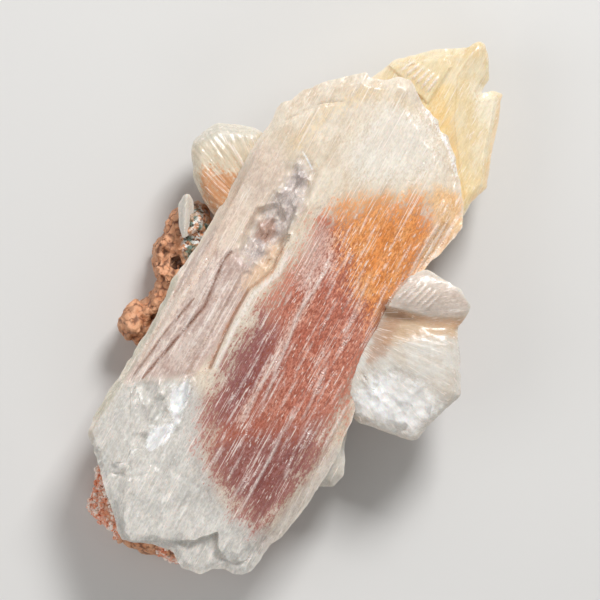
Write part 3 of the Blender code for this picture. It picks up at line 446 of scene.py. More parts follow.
def sheet(ring, lines, points):
    """Triangles over a ring, with lines kept as edges."""
    verts = [Vector(point) for point in ring]
    edges = [(i, (i + 1) % len(ring)) for i in range(len(ring))]
    for line in lines:
        start = len(verts)
        verts += [Vector(point) for point in line]
        inside = outside(np.array(line, float), ring) < -0.2
        edges += [(start + i, start + i + 1) for i in range(len(line) - 1)
                  if inside[i] and inside[i + 1]]
    verts += [Vector(point) for point in points]
    made = delaunay_2d_cdt(verts, edges, [list(range(len(ring)))], 1, 0.01)
    return np.array([(v.x, v.y) for v in made[0]]), np.array(made[2])


def rim_loop(triangles, plan):
    """The sheet's rim in order, anticlockwise."""
    sides = np.concatenate((triangles[:, [0, 1]], triangles[:, [1, 2]], triangles[:, [2, 0]]))
    forward = set(map(tuple, sides.tolist()))
    follow = {a: b for a, b in forward if (b, a) not in forward}
    start = min(follow)
    loop = [start]
    while follow[loop[-1]] != start and len(loop) < len(follow):
        loop.append(follow[loop[-1]])
    if not is_anticlockwise(plan[loop]):
        loop.reverse()
    return loop


def stitch(verts, upper, lower):
    """Triangles between two loops that run the same way round."""
    plan = np.array([vert[:2] for vert in verts])
    gaps = ((plan[lower] - plan[upper[0]]) ** 2).sum(1)
    begin = int(gaps.argmin())
    lower = lower[begin:] + lower[:begin]
    faces = []
    i = j = 0
    while i < len(upper) or j < len(lower):
        a, b = upper[i % len(upper)], lower[j % len(lower)]
        next_a, next_b = upper[(i + 1) % len(upper)], lower[(j + 1) % len(lower)]
        go_up = ((plan[next_a] - plan[b]) ** 2).sum()
        go_low = ((plan[next_b] - plan[a]) ** 2).sum()
        if j >= len(lower) or (i < len(upper) and go_up <= go_low):
            faces.append((a, b, next_a))
            i += 1
        else:
            faces.append((a, b, next_b))
            j += 1
    return faces


def leaf_edges(ring, top, low, leaves, seed, spread=0.55):
    """Rings down an edge that is a pack of thin leaves, some standing out past others."""
    rng = np.random.default_rng(seed)
    place = np.arange(len(ring)) * RIM_STEP
    normal = outward(ring)
    shares = np.sort(rng.uniform(0.04, 0.96, leaves))
    rings = []
    inset = np.zeros(len(ring))
    for index, share in enumerate(shares):
        wave = 0.65 + 0.35 * cloud(place / 6.0, place * 0.0, seed + index)
        after = spread * rng.uniform(0.1, 1.0) * wave
        chip = np.clip(cloud(place / 1.9, place * 0.0, seed + 50 + index) - 0.4, 0.0, 1.0)
        after = np.maximum(after + 0.8 * spread * chip, 0.0)
        wander = 0.025 * cloud(place / 11.0, place * 0.0, seed + 90 + index)
        for offset, at in ((inset, share + wander - 0.004), (after, share + wander + 0.004)):
            plan = ring - normal * offset[:, None]
            height = top + (low - top) * np.clip(at, 0.01, 0.99)
            rings.append(np.column_stack((plan, height)))
        inset = after
    return rings


def slab(name, outline, front, back, points, lines=(), leaves=8, rough=0.16, seed=1,
         spread=0.55, rounding=1):
    """A closed crystal: front relief, back relief and a leafy edge."""
    ring = ragged(outline, RIM_STEP, rough, seed, rounding)
    plan, triangles = sheet(ring, lines, points)
    verts = np.column_stack((plan, front(plan)))
    faces = [tuple(face) for face in triangles]
    upper = rim_loop(triangles, plan)
    rings = leaf_edges(ring, front(ring), back(ring), leaves, seed, spread)
    count = len(ring)
    for made in rings:
        start = len(verts)
        verts = np.concatenate((verts, made))
        lower = list(range(start, start + count))
        if len(upper) == count and upper[0] >= len(plan):
            for i in range(count):
                j = (i + 1) % count
                faces += [(upper[i], lower[i], lower[j]), (upper[i], lower[j], upper[j])]
        else:
            faces += stitch(verts, upper, lower)
        upper = lower
    last_ring = rings[-1][:, :2]
    back_points = inner_lattice(outline, 1.9 * spread + rough * 2.0, *BACK_STEPS, seed=seed + 3)
    low_plan, low_triangles = sheet(last_ring, (), back_points)
    start = len(verts)
    verts = np.concatenate((verts, np.column_stack((low_plan, back(low_plan)))))
    faces += [tuple(int(i) + start for i in face[::-1]) for face in low_triangles]
    lower = [i + start for i in rim_loop(low_triangles, low_plan)]
    faces += stitch(verts, upper, lower)
    return piece_from(name, verts, faces)


def piece_from(name, verts, faces):
    data = bpy.data.meshes.new(name)
    data.from_pydata((verts * MM).tolist(), [], [tuple(int(i) for i in face) for face in faces])
    mesh = bmesh.new()
    mesh.from_mesh(data)
    bmesh.ops.recalc_face_normals(mesh, faces=mesh.faces)
    mesh.to_mesh(data)
    mesh.free()
    data.shade_smooth()
    data.set_sharp_from_angle(angle=math.radians(SHARP_EDGE))
    piece = bpy.data.objects.new(name, data)
    bpy.context.collection.objects.link(piece)
    return piece


def plan_of(piece):
    """Every vertex of a piece, in millimetres."""
    return surface(piece.data)[0]


def store(piece, name, values):
    kind = "FLOAT" if values.ndim == 1 else "FLOAT_VECTOR"
    made = piece.data.attributes.new(name, kind, "POINT")
    made.data.foreach_set("value" if kind == "FLOAT" else "vector", values.astype(np.float32).ravel())


def zone_share(points, zone):
    """How much of a colour zone lies at each point: one inside, a half on its edge."""
    if zone["width"]:
        distance = beside(points, zone["place"])[0] - zone["width"]
    else:
        distance = outside(points, zone["place"])
    return np.clip(0.5 - distance / (2.0 * zone["soft"]), 0.0, 1.0)


def store_zones(piece, zones, root=None):
    """Colour zones and the grain that the streaks follow, kept on the mesh."""
    points = plan_of(piece)
    for zone in zones:
        store(piece, zone["name"], zone_share(points[:, :2], zone))
    if root is None:
        along, across = along_across(points)
    else:
        along = np.hypot(points[:, 0] - root[0], points[:, 1] - root[1])
        across = 12.0 * np.arctan2(points[:, 1] - root[1], points[:, 0] - root[0])
    store(piece, "grain", np.column_stack((along, across, points[:, 2])))


# How near each point is to the outline, for the painted rim light on every crystal's edge.
def store_rim_light(piece, outline, width):
    points = plan_of(piece)[:, :2]
    store(piece, "rim", fall(-outside(points, outline), width))


# Materials


def linear(colour):
    """An sRGB hex colour as linear red, green, blue and alpha."""
    parts = [int(colour[i:i + 2], 16) / 255.0 for i in (1, 3, 5)]
    return [p / 12.92 if p <= 0.04045 else ((p + 0.055) / 1.055) ** 2.4 for p in parts] + [1.0]


def add(tree, kind, inputs=None, out=0, **settings):
    """Adds a node with its settings, its values and its links, and gives its output."""
    made = tree.nodes.new("ShaderNode" + kind)
    for name, value in settings.items():
        setattr(made, name, value)
    for name, value in (inputs or {}).items():
        if isinstance(value, bpy.types.NodeSocket):
            tree.links.new(value, made.inputs[name])
        else:
            made.inputs[name].default_value = value
    return made.outputs[out] if made.outputs else None


# What a recipe line can do: the node it adds, the inputs it fills, its output and settings.
RECIPE_WORDS = {
    "spread": ("Mapping", ("Vector", "Scale", "Location"), 0, {}),
    "noise": ("TexNoise", ("Vector", "Scale", "Detail", "Roughness"), "Fac", {}),
    "times_plus": ("Math", (0, 1, 2), 0, {"operation": "MULTIPLY_ADD"}),
    "from_to": ("MapRange", (0, 1, 2, 3, 4), 0, {"interpolation_type": "SMOOTHSTEP"}),
    "lay_over": ("Mix", (0, 6, 7), 2, {"data_type": "RGBA"}),
    "darken_by": ("Mix", (0, 6, 7), 2, {"data_type": "RGBA", "blend_type": "MULTIPLY"}),
}


def follow(tree, found, recipe):
    """Works through a recipe. Each line names what it makes, a recipe word, and its inputs:
    numbers, sRGB colours, or the names of what was found or made before."""
    for made, word, *inputs in recipe:
        kind, places, out, settings = RECIPE_WORDS[word]
        values = [linear(v) if str(v).startswith("#") else found.get(v, v) for v in inputs]
        found[made] = add(tree, kind, dict(zip(places, values)), out, **settings)


def pattern_lines(patterns, unit):
    """Recipe lines for a table of patterns: cell sizes, detail, roughness and start."""
    lines = []
    for name, (sizes, detail, roughness, start) in patterns.items():
        scale = tuple(unit / size for size in sizes)
        lines.append((name, "spread", "place", scale, start))
        lines.append((name, "noise", name, 1.0, detail, roughness))
    return lines


def new_material(name):
    made = bpy.data.materials.new(name)
    made.use_nodes = True
    tree = made.node_tree
    tree.nodes.clear()
    return made, tree


# Patterns in the crystals, in millimetres along, across and into the crystal. Its growth
# lines are about 0.05 mm apart and its iron grains 0.1 mm wide, too fine to show, so the
# fine lines and the grit are drawn three times as coarse.
CRYSTAL_PATTERNS = {
    "streak": ((6.25, 0.4545, 0.625), 4.0, 0.55, (0.0, 0.0, 0.0)),
    "fine": ((1.111, 0.16667, 0.16667), 2.0, 0.55, (5.0, 3.0, 1.0)),
    "mottle": ((4.1667, 2.5, 2.0), 6.0, 0.65, (2.0, 9.0, 4.0)),
    "grit": ((0.5882, 0.3125, 0.3125), 4.0, 0.7, (1.0, 4.0, 7.0)),
    "nick": ((1.25, 0.2381, 0.25), 2.0, 0.55, (4.0, 4.0, 4.0)),
    "hair": ((14.286, 0.22727, 0.33333), 2.0, 0.55, (3.0, 7.0, 2.0)),
}
FACET_SIZE = (1.4286, 0.90909, 1.0)     # the broken faces that glint, in millimetres
CRYSTAL_MARKS = ("ridge", "rim", "broken", "iron", "iron_orange")


def zone_recipe(zones):
    """Recipe lines that lay each zone over the ones before it, its edge carried by grain."""
    lines = [
        ("wander", "times_plus", "streak", 0.5, -1.45),
        ("wander", "times_plus", "grit", 1.5, "wander"),
        ("wander", "times_plus", "mottle", 0.9, "wander"),
        ("varied", "times_plus", "mottle", 0.65, 0.0),
        ("varied", "times_plus", "grit", 0.35, "varied"),
        ("varied", "from_to", "varied", 0.4, 0.6, 0.0, 1.0),
    ]
    for part in zones:
        lines += [
            ("edge", "times_plus", "wander", part["ragged"], part["name"]),
            ("amount", "from_to", "edge", 0.25, 0.75, 0.0, part["strength"]),
            ("shade", "lay_over", "varied", part["colour"], part["other"]),
            ("colour", "lay_over", "amount", "colour", "shade"),
        ]
    return lines


def stilbite(name, base, low_base, zones, roughness=0.3, nick_glints=0.5, plain_nick_glints=0.5,
             grains=0.14, plain_grains=0.6, depth=1.0, bump=0.4, ridge_highlight=0.45):
    """Stilbite: a pearly zeolite grown as a pack of thin clear leaves.

    Light sinks in about a millimetre and a thin clear skin gives the pearly gloss. The
    zones are iron stain and milky or clear growth, and some are painted shade, shadow or
    highlights. Iron sits in dark grains, and white hairs are open cleavages. The white
    specks are painted glints, the whitened ridge crests are painted highlights, and every
    edge is whitened as painted rim light. Where the crystal is broken, small faces lean
    this way and that, so they glint.
    """
    made, tree = new_material(name)
    found = {"place": add(tree, "Attribute", out="Vector", attribute_name="grain")}
    for mark in CRYSTAL_MARKS + tuple(part["name"] for part in zones):
        found[mark] = add(tree, "Attribute", out="Fac", attribute_name=mark)
    follow(tree, found, pattern_lines(CRYSTAL_PATTERNS, 1.0))
    follow(tree, found, [
        ("pale", "from_to", "mottle", 0.38, 0.62, 0.0, 1.0),
        ("colour", "lay_over", "pale", base, low_base),
    ])
    follow(tree, found, zone_recipe(zones))
    follow(tree, found, [
        ("grainy", "times_plus", "iron", 0.7, plain_grains),
        ("dark", "from_to", "grit", 0.32, 0.68, -grains, 0.7 * grains),
        ("dark", "times_plus", "dark", "grainy", 1.0),
        ("lines", "from_to", "streak", 0.3, 0.7, 0.95, 1.04),
        ("dark", "times_plus", "dark", "lines", 0.0),
        ("colour", "darken_by", 1.0, "colour", "dark"),
        ("iron_grains", "from_to", "grit", 0.36, 0.56, 0.6, 0.0),
        ("iron_grains", "times_plus", "iron_grains", "iron", 0.0),
        ("orange_calm", "from_to", "iron_orange", 0.3, 0.8, 1.0, 0.3),
        ("iron_grains", "times_plus", "iron_grains", "orange_calm", 0.0),
        ("colour", "lay_over", "iron_grains", "colour", "#954b38"),
        # White specks from the nick pattern, mostly in the iron zone: painted glints.
        ("nick_glint_reach", "times_plus", "iron", 0.9, plain_nick_glints),
        ("nick_glints", "from_to", "nick", 0.6, 0.72, 0.0, nick_glints),
        ("nick_glints", "times_plus", "nick_glints", "nick_glint_reach", 0.0),
        ("colour", "lay_over", "nick_glints", "colour", "#fbeee4"),
        ("hairs", "from_to", "hair", 0.58, 0.67, 0.0, 0.65),
        ("hair_gaps", "from_to", "mottle", 0.35, 0.6, 0.0, 1.0),
        ("hairs", "times_plus", "hairs", "hair_gaps", 0.0),
        ("colour", "lay_over", "hairs", "colour", "#fff3ea"),
        # Whitened ridge and bar crests: painted highlights, broken up by the nick pattern.
        ("ridge_gaps", "from_to", "nick", 0.3, 0.5, 0.25 * ridge_highlight, ridge_highlight),
        ("ridges", "times_plus", "ridge", "ridge_gaps", 0.0),
        ("colour", "lay_over", "ridges", "colour", "#fff4ec"),
        # Whitened edges on every crystal: painted rim light.
        ("rim", "times_plus", "rim", 0.35, 0.0),
        ("colour", "lay_over", "rim", "colour", "#fbf3e8"),
        ("relief", "times_plus", "fine", 0.6, 0.0),
        ("relief", "times_plus", "grit", 0.6, "relief"),
        ("roughness", "from_to", "fine", 0.3, 0.7, roughness - 0.08, roughness + 0.12),
        ("lean", "times_plus", "broken", 0.55, 0.1),
    ])
    scale = tuple(1.0 / size for size in FACET_SIZE)
    chips = add(tree, "Mapping", {"Vector": found["place"], "Scale": scale})
    faces = add(tree, "TexVoronoi", {"Vector": chips, "Scale": 1.0}, out="Color")
    away = add(tree, "VectorMath", {0: faces, 1: (0.5, 0.5, 0.5)}, operation="SUBTRACT")
    away = add(tree, "VectorMath", {0: away, "Scale": found["lean"]}, operation="SCALE")
    normal = add(tree, "NewGeometry", out="Normal")
    normal = add(tree, "VectorMath", {0: normal, 1: away}, operation="ADD")
    normal = add(tree, "VectorMath", {0: normal}, operation="NORMALIZE")
    normal = add(tree, "Bump", {"Height": found["relief"], "Strength": bump,
                                "Distance": 0.16 * MM, "Normal": normal})
    shader = add(tree, "BsdfPrincipled", {
        "Base Color": found["colour"], "Roughness": found["roughness"], "Normal": normal,
        "IOR": 1.5, "Subsurface Weight": 0.25, "Subsurface Radius": (1.0, 0.62, 0.42),
        "Subsurface Scale": depth * MM, "Coat Weight": 0.3, "Coat Roughness": 0.15,
        "Coat IOR": 1.45})
    add(tree, "OutputMaterial", {"Surface": shader})
    return made


# Patterns in the rock, in millimetres: blotches of stain, crust grains, mineral spots.
CRUST_PATTERNS = {
    "blotch": ((2.8571,) * 3, 5.0, 0.55, (0.0, 0.0, 0.0)),
    "grains": ((0.41667,) * 3, 3.0, 0.55, (3.0, 1.0, 2.0)),
    "spots": ((0.66667,) * 3, 2.0, 0.55, (8.0, 2.0, 5.0)),
}
CRUST_BEAD = 0.86957                    # width of one bead of the crust
DRUSE_PATTERNS = {"blotch": ((1.1111,) * 3, 2.0, 0.55, (0.0, 0.0, 0.0))}


def iron_crust():
    """Iron-stained rock crust: grown in small beads, matt, grainy and brown-orange, with
    painted highlights and glints on the beads and crests and near black painted shade between
    the beads and in the hollows, with a green and white mineral patch and a pink druse."""
    made, tree = new_material("iron_stained_crust")
    found = {"place": add(tree, "TexCoord", out="Object")}
    found["bead"] = add(tree, "TexVoronoi", {"Vector": found["place"],
                                             "Scale": 1.0 / (CRUST_BEAD * MM)})
    for mark in ("druse", "speckled", "crest"):
        found[mark] = add(tree, "Attribute", out="Fac", attribute_name=mark)
    follow(tree, found, pattern_lines(CRUST_PATTERNS, 1.0 / MM))
    follow(tree, found, [
        ("tone", "from_to", "blotch", 0.35, 0.65, 0.0, 1.0),
        ("colour", "lay_over", "tone", "#cf8a60", "#ecb088"),
        ("glints", "from_to", "grains", 0.5, 0.7, 0.0, 0.7),
        ("colour", "lay_over", "glints", "colour", "#e6b08a"),
        # Painted highlights on the bead tops and painted shade in the gaps between beads.
        ("bead_highlights", "from_to", "bead", 0.05, 0.4, 0.7, 0.0),
        ("colour", "lay_over", "bead_highlights", "colour", "#edb48a"),
        ("bead_gap_shade", "from_to", "bead", 0.5, 0.8, 0.0, 0.75),
        ("colour", "lay_over", "bead_gap_shade", "colour", "#5c2c18"),
        ("pink", "from_to", "grains", 0.42, 0.62, 0.0, 1.0),
        ("pink", "lay_over", "pink", "#ea9c78", "#fbdccb"),
        ("colour", "lay_over", "druse", "colour", "pink"),
        ("white", "from_to", "spots", 0.47, 0.51, 0.0, 1.0),
        ("white", "times_plus", "speckled", "white", 0.0),
        ("colour", "lay_over", "white", "colour", "#f0f3ee"),
        ("green", "from_to", "blotch", 0.5, 0.58, 0.0, 0.85),
        ("green", "times_plus", "speckled", "green", 0.0),
        ("colour", "lay_over", "green", "colour", "#2f5c4a"),
        ("dark", "from_to", "grains", 0.38, 0.44, 0.9, 0.0),
        ("dark", "times_plus", "speckled", "dark", 0.0),
        ("colour", "lay_over", "dark", "colour", "#3a1c14"),
        # Painted shade in the hollows and painted highlights on the crests.
        ("hollow_shade", "from_to", "crest", -2.6, -0.6, 0.8, 0.0),
        ("colour", "lay_over", "hollow_shade", "colour", "#2c140d"),
        ("high", "from_to", "crest", 0.35, 1.2, 0.0, 0.45),
        ("colour", "lay_over", "high", "colour", "#e3ab84"),
        ("rounded", "times_plus", "bead", -1.6, "grains"),
    ])
    normal = add(tree, "Bump", {"Height": found["rounded"], "Strength": 0.8,
                                "Distance": 0.25 * MM})
    shader = add(tree, "BsdfPrincipled", {"Base Color": found["colour"], "Roughness": 0.5,
                                          "Normal": normal, "IOR": 1.5})
    add(tree, "OutputMaterial", {"Surface": shader})
    return made


def pink_druse():
    """Druse crystals: tiny grown grains with clear tops, half a millimetre across, pink from
    iron, so they sparkle a little and let some light in."""
    made, tree = new_material("pink_druse")
    found = {"place": add(tree, "TexCoord", out="Object")}
    follow(tree, found, pattern_lines(DRUSE_PATTERNS, 1.0 / MM))
    follow(tree, found, [
        ("tone", "from_to", "blotch", 0.4, 0.62, 0.0, 1.0),
        ("colour", "lay_over", "tone", "#ee9c78", "#fdeade"),
    ])
    shader = add(tree, "BsdfPrincipled", {
        "Base Color": found["colour"], "Roughness": 0.3, "IOR": 1.5, "Subsurface Weight": 0.2,
        "Subsurface Radius": (1.0, 0.5, 0.4), "Subsurface Scale": 0.4 * MM,
        "Coat Weight": 0.3, "Coat Roughness": 0.12})
    add(tree, "OutputMaterial", {"Surface": shader})
    return made


def paper():
    """Pale seamless paper: matt and even."""
    made, tree = new_material("seamless_paper")
    shader = add(tree, "BsdfPrincipled", {"Base Color": linear("#dddcda"), "Roughness": 0.9})
    add(tree, "OutputMaterial", {"Surface": shader})
    return made


# Colour zones


def zone(name, colour, soft, ragged, strength, place, width=None, other=None):
    """A stain, a milky or clear growth, or a painted shade, shadow or highlight: its colour,
    the half width of its soft edge, how far the grain carries that edge, its strength, and its
    area in plan, or its path and half width. The other colour is its second shade."""
    return {"name": name, "colour": colour, "other": other or colour, "soft": soft,
            "ragged": ragged, "strength": strength, "place": place, "width": width}


MAIN_ZONES = [
    zone("cool_foot", "#c8c6c1", 3.0, 0.5, 0.85,
         [(-31, -18), (-26, -11), (-23.3, -10.3), (-15.8, -10.3), (-13.6, -13.9), (-13.6, -21.4),
          (-12, -26), (-9.8, -30.4), (-4, -33.4), (-4, -40), (-9, -42), (-20, -39), (-27, -36),
          (-32, -24)], other="#dddbd6"),
    zone("mauve_strips", "#bd9f95", 1.6, 0.7, 0.9,
         STRIP_PATCH, other="#dccac0"),
    zone("peach_strip", "#dfc6b5", 0.6, 0.5, 0.85,
         [(-8.6, 14.8), (-12.8, 8.6), (-17.9, 0.8), (-23.2, -7.6)], width=0.8, other="#eedccd"),
    zone("clear_margin", "#bfbbaa", 0.5, 0.2, 0.75,
         [(-19.2, 5.5), (-17.6, 4.4), (-20.6, -2.4), (-26.2, -11.6), (-28.6, -15.5), (-33, -19),
          (-27, -8), (-22, 0)]),
    zone("warm_upper_left", "#d6bfae", 2.5, 0.6, 0.8,
         [(-12, 14.5), (-6, 25), (-2.5, 24), (-1, 20), (-4, 14), (-9, 8.6), (-13, 7)], other="#ead9c8"),
    zone("grey_patch", "#b5a6a4", 1.8, 0.7, 0.9,
         GREY_PATCH, other="#ded3cc"),
    zone("warm_halo", "#eec393", 2.6, 0.8, 0.85,
         [(7.4, 14.6), (12.0, 16.0), (17.5, 16.6), (23.6, 15.4)], width=1.0),
    zone("iron", "#b35e47", 3.8, 1.3, 0.95,
         IRON_ZONE, other="#cb836c"),
    zone("iron_orange", "#dc8c4a", 5.5, 0.6, 1.0,
         [(6, 14.5), (12, 16), (18.5, 15.5), (21.5, 12), (20.5, 8), (16.5, 2), (13, -3), (9.5, 2),
          (7, 8)], other="#e6a163"),
    zone("iron_purple", "#74444a", 5.0, 1.0, 0.85,
         [(-12.5, -14.5), (-9.5, -6.5), (-5.0, -1.5), (-2.5, -5), (-4, -11), (-8, -16),
          (-12.5, -19)], other="#986564"),
    zone("iron_pink", "#734649", 4.5, 1.1, 0.8,
         [(-12.5, -21.5), (-6.5, -19), (1, -19), (4, -17.5), (2.5, -24), (-2.8, -30.5),
          (-5.4, -33), (-11, -27)], other="#966866"),
    zone("cream_crest", "#e9d0a4", 2.2, 0.9, 0.5,
         [(0.6, 24.5), (4.6, 29.2), (11.0, 32.4), (17.0, 30.0)], width=0.6),
    zone("white_cloud", "#eae4d9", 3.4, 1.0, 0.7,
         [(8.0, 24.0), (13.5, 31.0), (20.0, 27.5), (21.5, 21.5), (15.0, 19.0), (9.0, 19.5)]),
    zone("red_streak", "#b8654c", 1.1, 0.6, 0.7,
         [(3.6, 13.6), (5.6, 13.2), (3.9, 9.6), (2.6, 9.9)]),
    zone("right_slope", "#e2ad72", 1.6, 0.6, 0.85,
         RIGHT_SLOPE, other="#efcb9d"),
    zone("pale_band", "#d8b0a0", 0.9, 0.9, 0.8,
         [(5.6, 7.9), (2.2, 2.0), (-0.8, -3.4), (-4.6, -10.4), (-8.3, -16.9)], width=0.5),
    zone("pale_patch", "#dcc0b4", 1.4, 1.0, 0.6,
         [(1.4, 8.6), (4.0, 12.5), (5.4, 10.6), (4.6, 7.0), (2.0, 2.0), (0.4, 3.0)]),
    # Painted shadow on the blade's edge where the sheaf meets it.
    zone("contact_painted_shadow", "#8c5b48", 1.2, 0.5, 0.75,
         [(12.8, 1.2), (16.4, 1.0), (13.4, -6.2), (11.6, -5.2)]),
    zone("low_margin", "#d2cbc2", 1.6, 0.5, 0.7,
         [(5.6, -20.4), (2.6, -25.4), (-3.2, -32.8), (-6.0, -35.4), (-5, -40), (0, -37), (6, -30),
          (8.4, -22)]),
    # Painted shadow along the foot of the face plate's ledge.
    zone("ledge_painted_shadow", "#b57c58", 0.45, 0.4, 0.85,
         [(-1.9, 9.0), (-3.5, 5.5), (-7.1, 2.7), (-9.9, -2.2), (-12.9, -9.0)], width=0.25),
    # Painted highlight along the top edge of the ledge.
    zone("ledge_painted_highlight", "#f6eee6", 0.5, 0.5, 0.7,
         [(-1.0, 8.4), (-2.6, 5.1), (-6.2, 2.2), (-9.0, -2.6), (-12.0, -9.0)], width=0.3),
    zone("ledge_warm", "#e3bf9d", 1.6, 0.7, 0.7,
         [(-1.6, 10.6), (-3.1, 5.9), (-6.7, 2.9), (-8.6, 2.6), (-6.2, 6.2), (-3.6, 9.4)]),
    zone("groove_lines", "#875842", 0.3, 0.4, 0.8,
         [(-9.7, 8.4), (-11.0, 6.9), (-13.7, 0.1), (-17.1, -3.8), (-23.0, -10.6)], width=0.2),
    zone("groove_lines_two", "#8f6650", 0.3, 0.4, 0.7,
         [(-15.3, 1.3), (-19.4, -3.5), (-24.2, -10.0)], width=0.18),
    zone("strip_light", "#f2e4d8", 0.5, 0.6, 0.7,
         [(-10.6, 8.6), (-11.9, 6.7), (-14.7, 0.3), (-18.0, -3.5), (-23.8, -10.4)], width=0.12),
    zone("strip_light_two", "#f2e4d8", 0.5, 0.6, 0.6,
         [(-16.9, 5.9), (-18.9, 1.6), (-21.3, -3.3), (-26.6, -10.9)], width=0.12),
    # Painted rim light along the blade's upper right edge.
    zone("painted_rim_light", "#ffffff", 0.5, 1.0, 0.9,
         [(19.2, 30.6), (21.4, 27.2), (23.2, 23.6), (24.2, 19.9)], width=0.15),
    # Cleaved facets in the hollow: whiter, with a painted highlight over them.
    zone("cleaved_white_and_highlight", "#ffffff", 0.6, 0.6, 0.9,
         [(-18.5, -12.4), (-16.0, -10.6), (-15.9, -12.8), (-17.3, -16.8), (-19.3, -20.0),
          (-21.8, -21.6), (-22.6, -20.8), (-22.2, -18.6), (-18.4, -17.2), (-18.9, -14.8)]),
    zone("pit_stain", "#b08a78", 0.8, 0.5, 0.8,
         [(-5.4, 13.2), (-3.4, 13.4), (-2.8, 11.2), (-4.4, 9.6), (-6.2, 10.6)]),
    # Painted glint on a small ridge.
    zone("feather_glint", "#ffffff", 0.2, 0.1, 0.9,
         [(1.1, 23.3), (1.9, 22.0), (2.5, 20.7)], width=0.12),
    zone("yellow_spot", "#c9a440", 0.45, 0.2, 0.6,
         [(1.9, 18.9), (2.1, 18.5)], width=0.12),
    zone("yellow_spot_two", "#d2b055", 0.4, 0.2, 0.5,
         [(3.0, 21.7), (3.2, 21.2)], width=0.08),
]

GOLDEN_ZONES = [
    # Deeper honey colour beside the main blade, darkened with painted shadow of the blade.
    zone("deep_honey_and_shadow", "#efca86", 3.0, 0.5, 0.85,
         [(18.5, 33.0), (21.0, 35.0), (23.4, 33.0), (24.2, 28.0), (25.4, 22.0), (27.0, 17.0),
          (24.0, 13.0), (18.0, 22.0)], other="#f0dcb0"),
    zone("pale_point", "#f3e8d2", 2.4, 0.8, 0.8,
         [(26.6, 34.0), (30.6, 31.6), (29.9, 27.0), (28.0, 28.0)]),
    # Deeper honey colour and painted shade along the right edge.
    zone("honey_rim_and_shade", "#e6bf92", 0.7, 0.4, 0.7,
         [(31.3, 32.0), (30.6, 28.0), (29.9, 25.0), (29.1, 20.3), (28.9, 18.0), (26.6, 16.0)], width=0.4),
    zone("facet_white", "#ead9b2", 0.9, 0.3, 0.7,
         GOLDEN_FACET),
    zone("facet_line", "#d9b88a", 0.25, 0.2, 0.5,
         GOLDEN_RIDGE, width=0.1),
]
SHEAF_ZONES = [
    # Beige band below the upper lobe, darkened with painted shade.
    zone("beige_band_and_shade", "#c9a782", 1.8, 0.4, 0.8,
         [(13.4, -0.2), (20, -1.4), (26, -1.0), (25, -4.2), (18, -4.6), (13.0, -5.5)]),
    # Painted shade under the upper lobe's lower edge.
    zone("under_lobe_shade", "#cfa583", 1.2, 0.4, 0.75,
         [(13.6, -0.6), (17.0, -1.2), (21.4, -2.2), (25.0, -2.4)], width=0.6),
    zone("lobe_cream", "#c8b3a3", 1.0, 0.3, 0.8,
         SHEAF_LOBE, other="#decfc3"),
    # The broken lower lobe: whiter, and painted brighter as if lit.
    zone("broken_white_and_lit", "#ffffff", 2.6, 0.8, 0.8,
         SHEAF_BROKEN, other="#e3e1dd"),
    # Painted shadow on the sheaf where it meets the blade.
    zone("root_painted_shadow", "#b58d72", 1.4, 0.4, 0.7,
         [(12.2, -1.6), (16.2, -1.0), (13.4, -7.4), (10.6, -8.6)]),
    # Painted shade on the sheaf's low side wall.
    zone("low_wall_shade", "#cbbdaf", 0.5, 0.3, 0.7,
         [(7.6, -15.8), (12.8, -18.4), (17.3, -20.1), (18.4, -19.9)], width=0.3),
]
FAN_ZONES = [
    zone("orange_root", "#cc8c5a", 3.4, 1.0, 0.9,
         [(-13.6, 20.3), (-10.0, 20.8), (-8.2, 19.6), (-9.6, 15.0), (-12.4, 13.0), (-14.2, 16.4)]),
    zone("white_crest", "#cecabd", 2.2, 0.4, 0.8,
         [(-17, 24), (-12, 25.2), (-6, 25.4), (-4, 29), (-13, 30), (-17, 27)], other="#dedacf"),
]

# Crystals


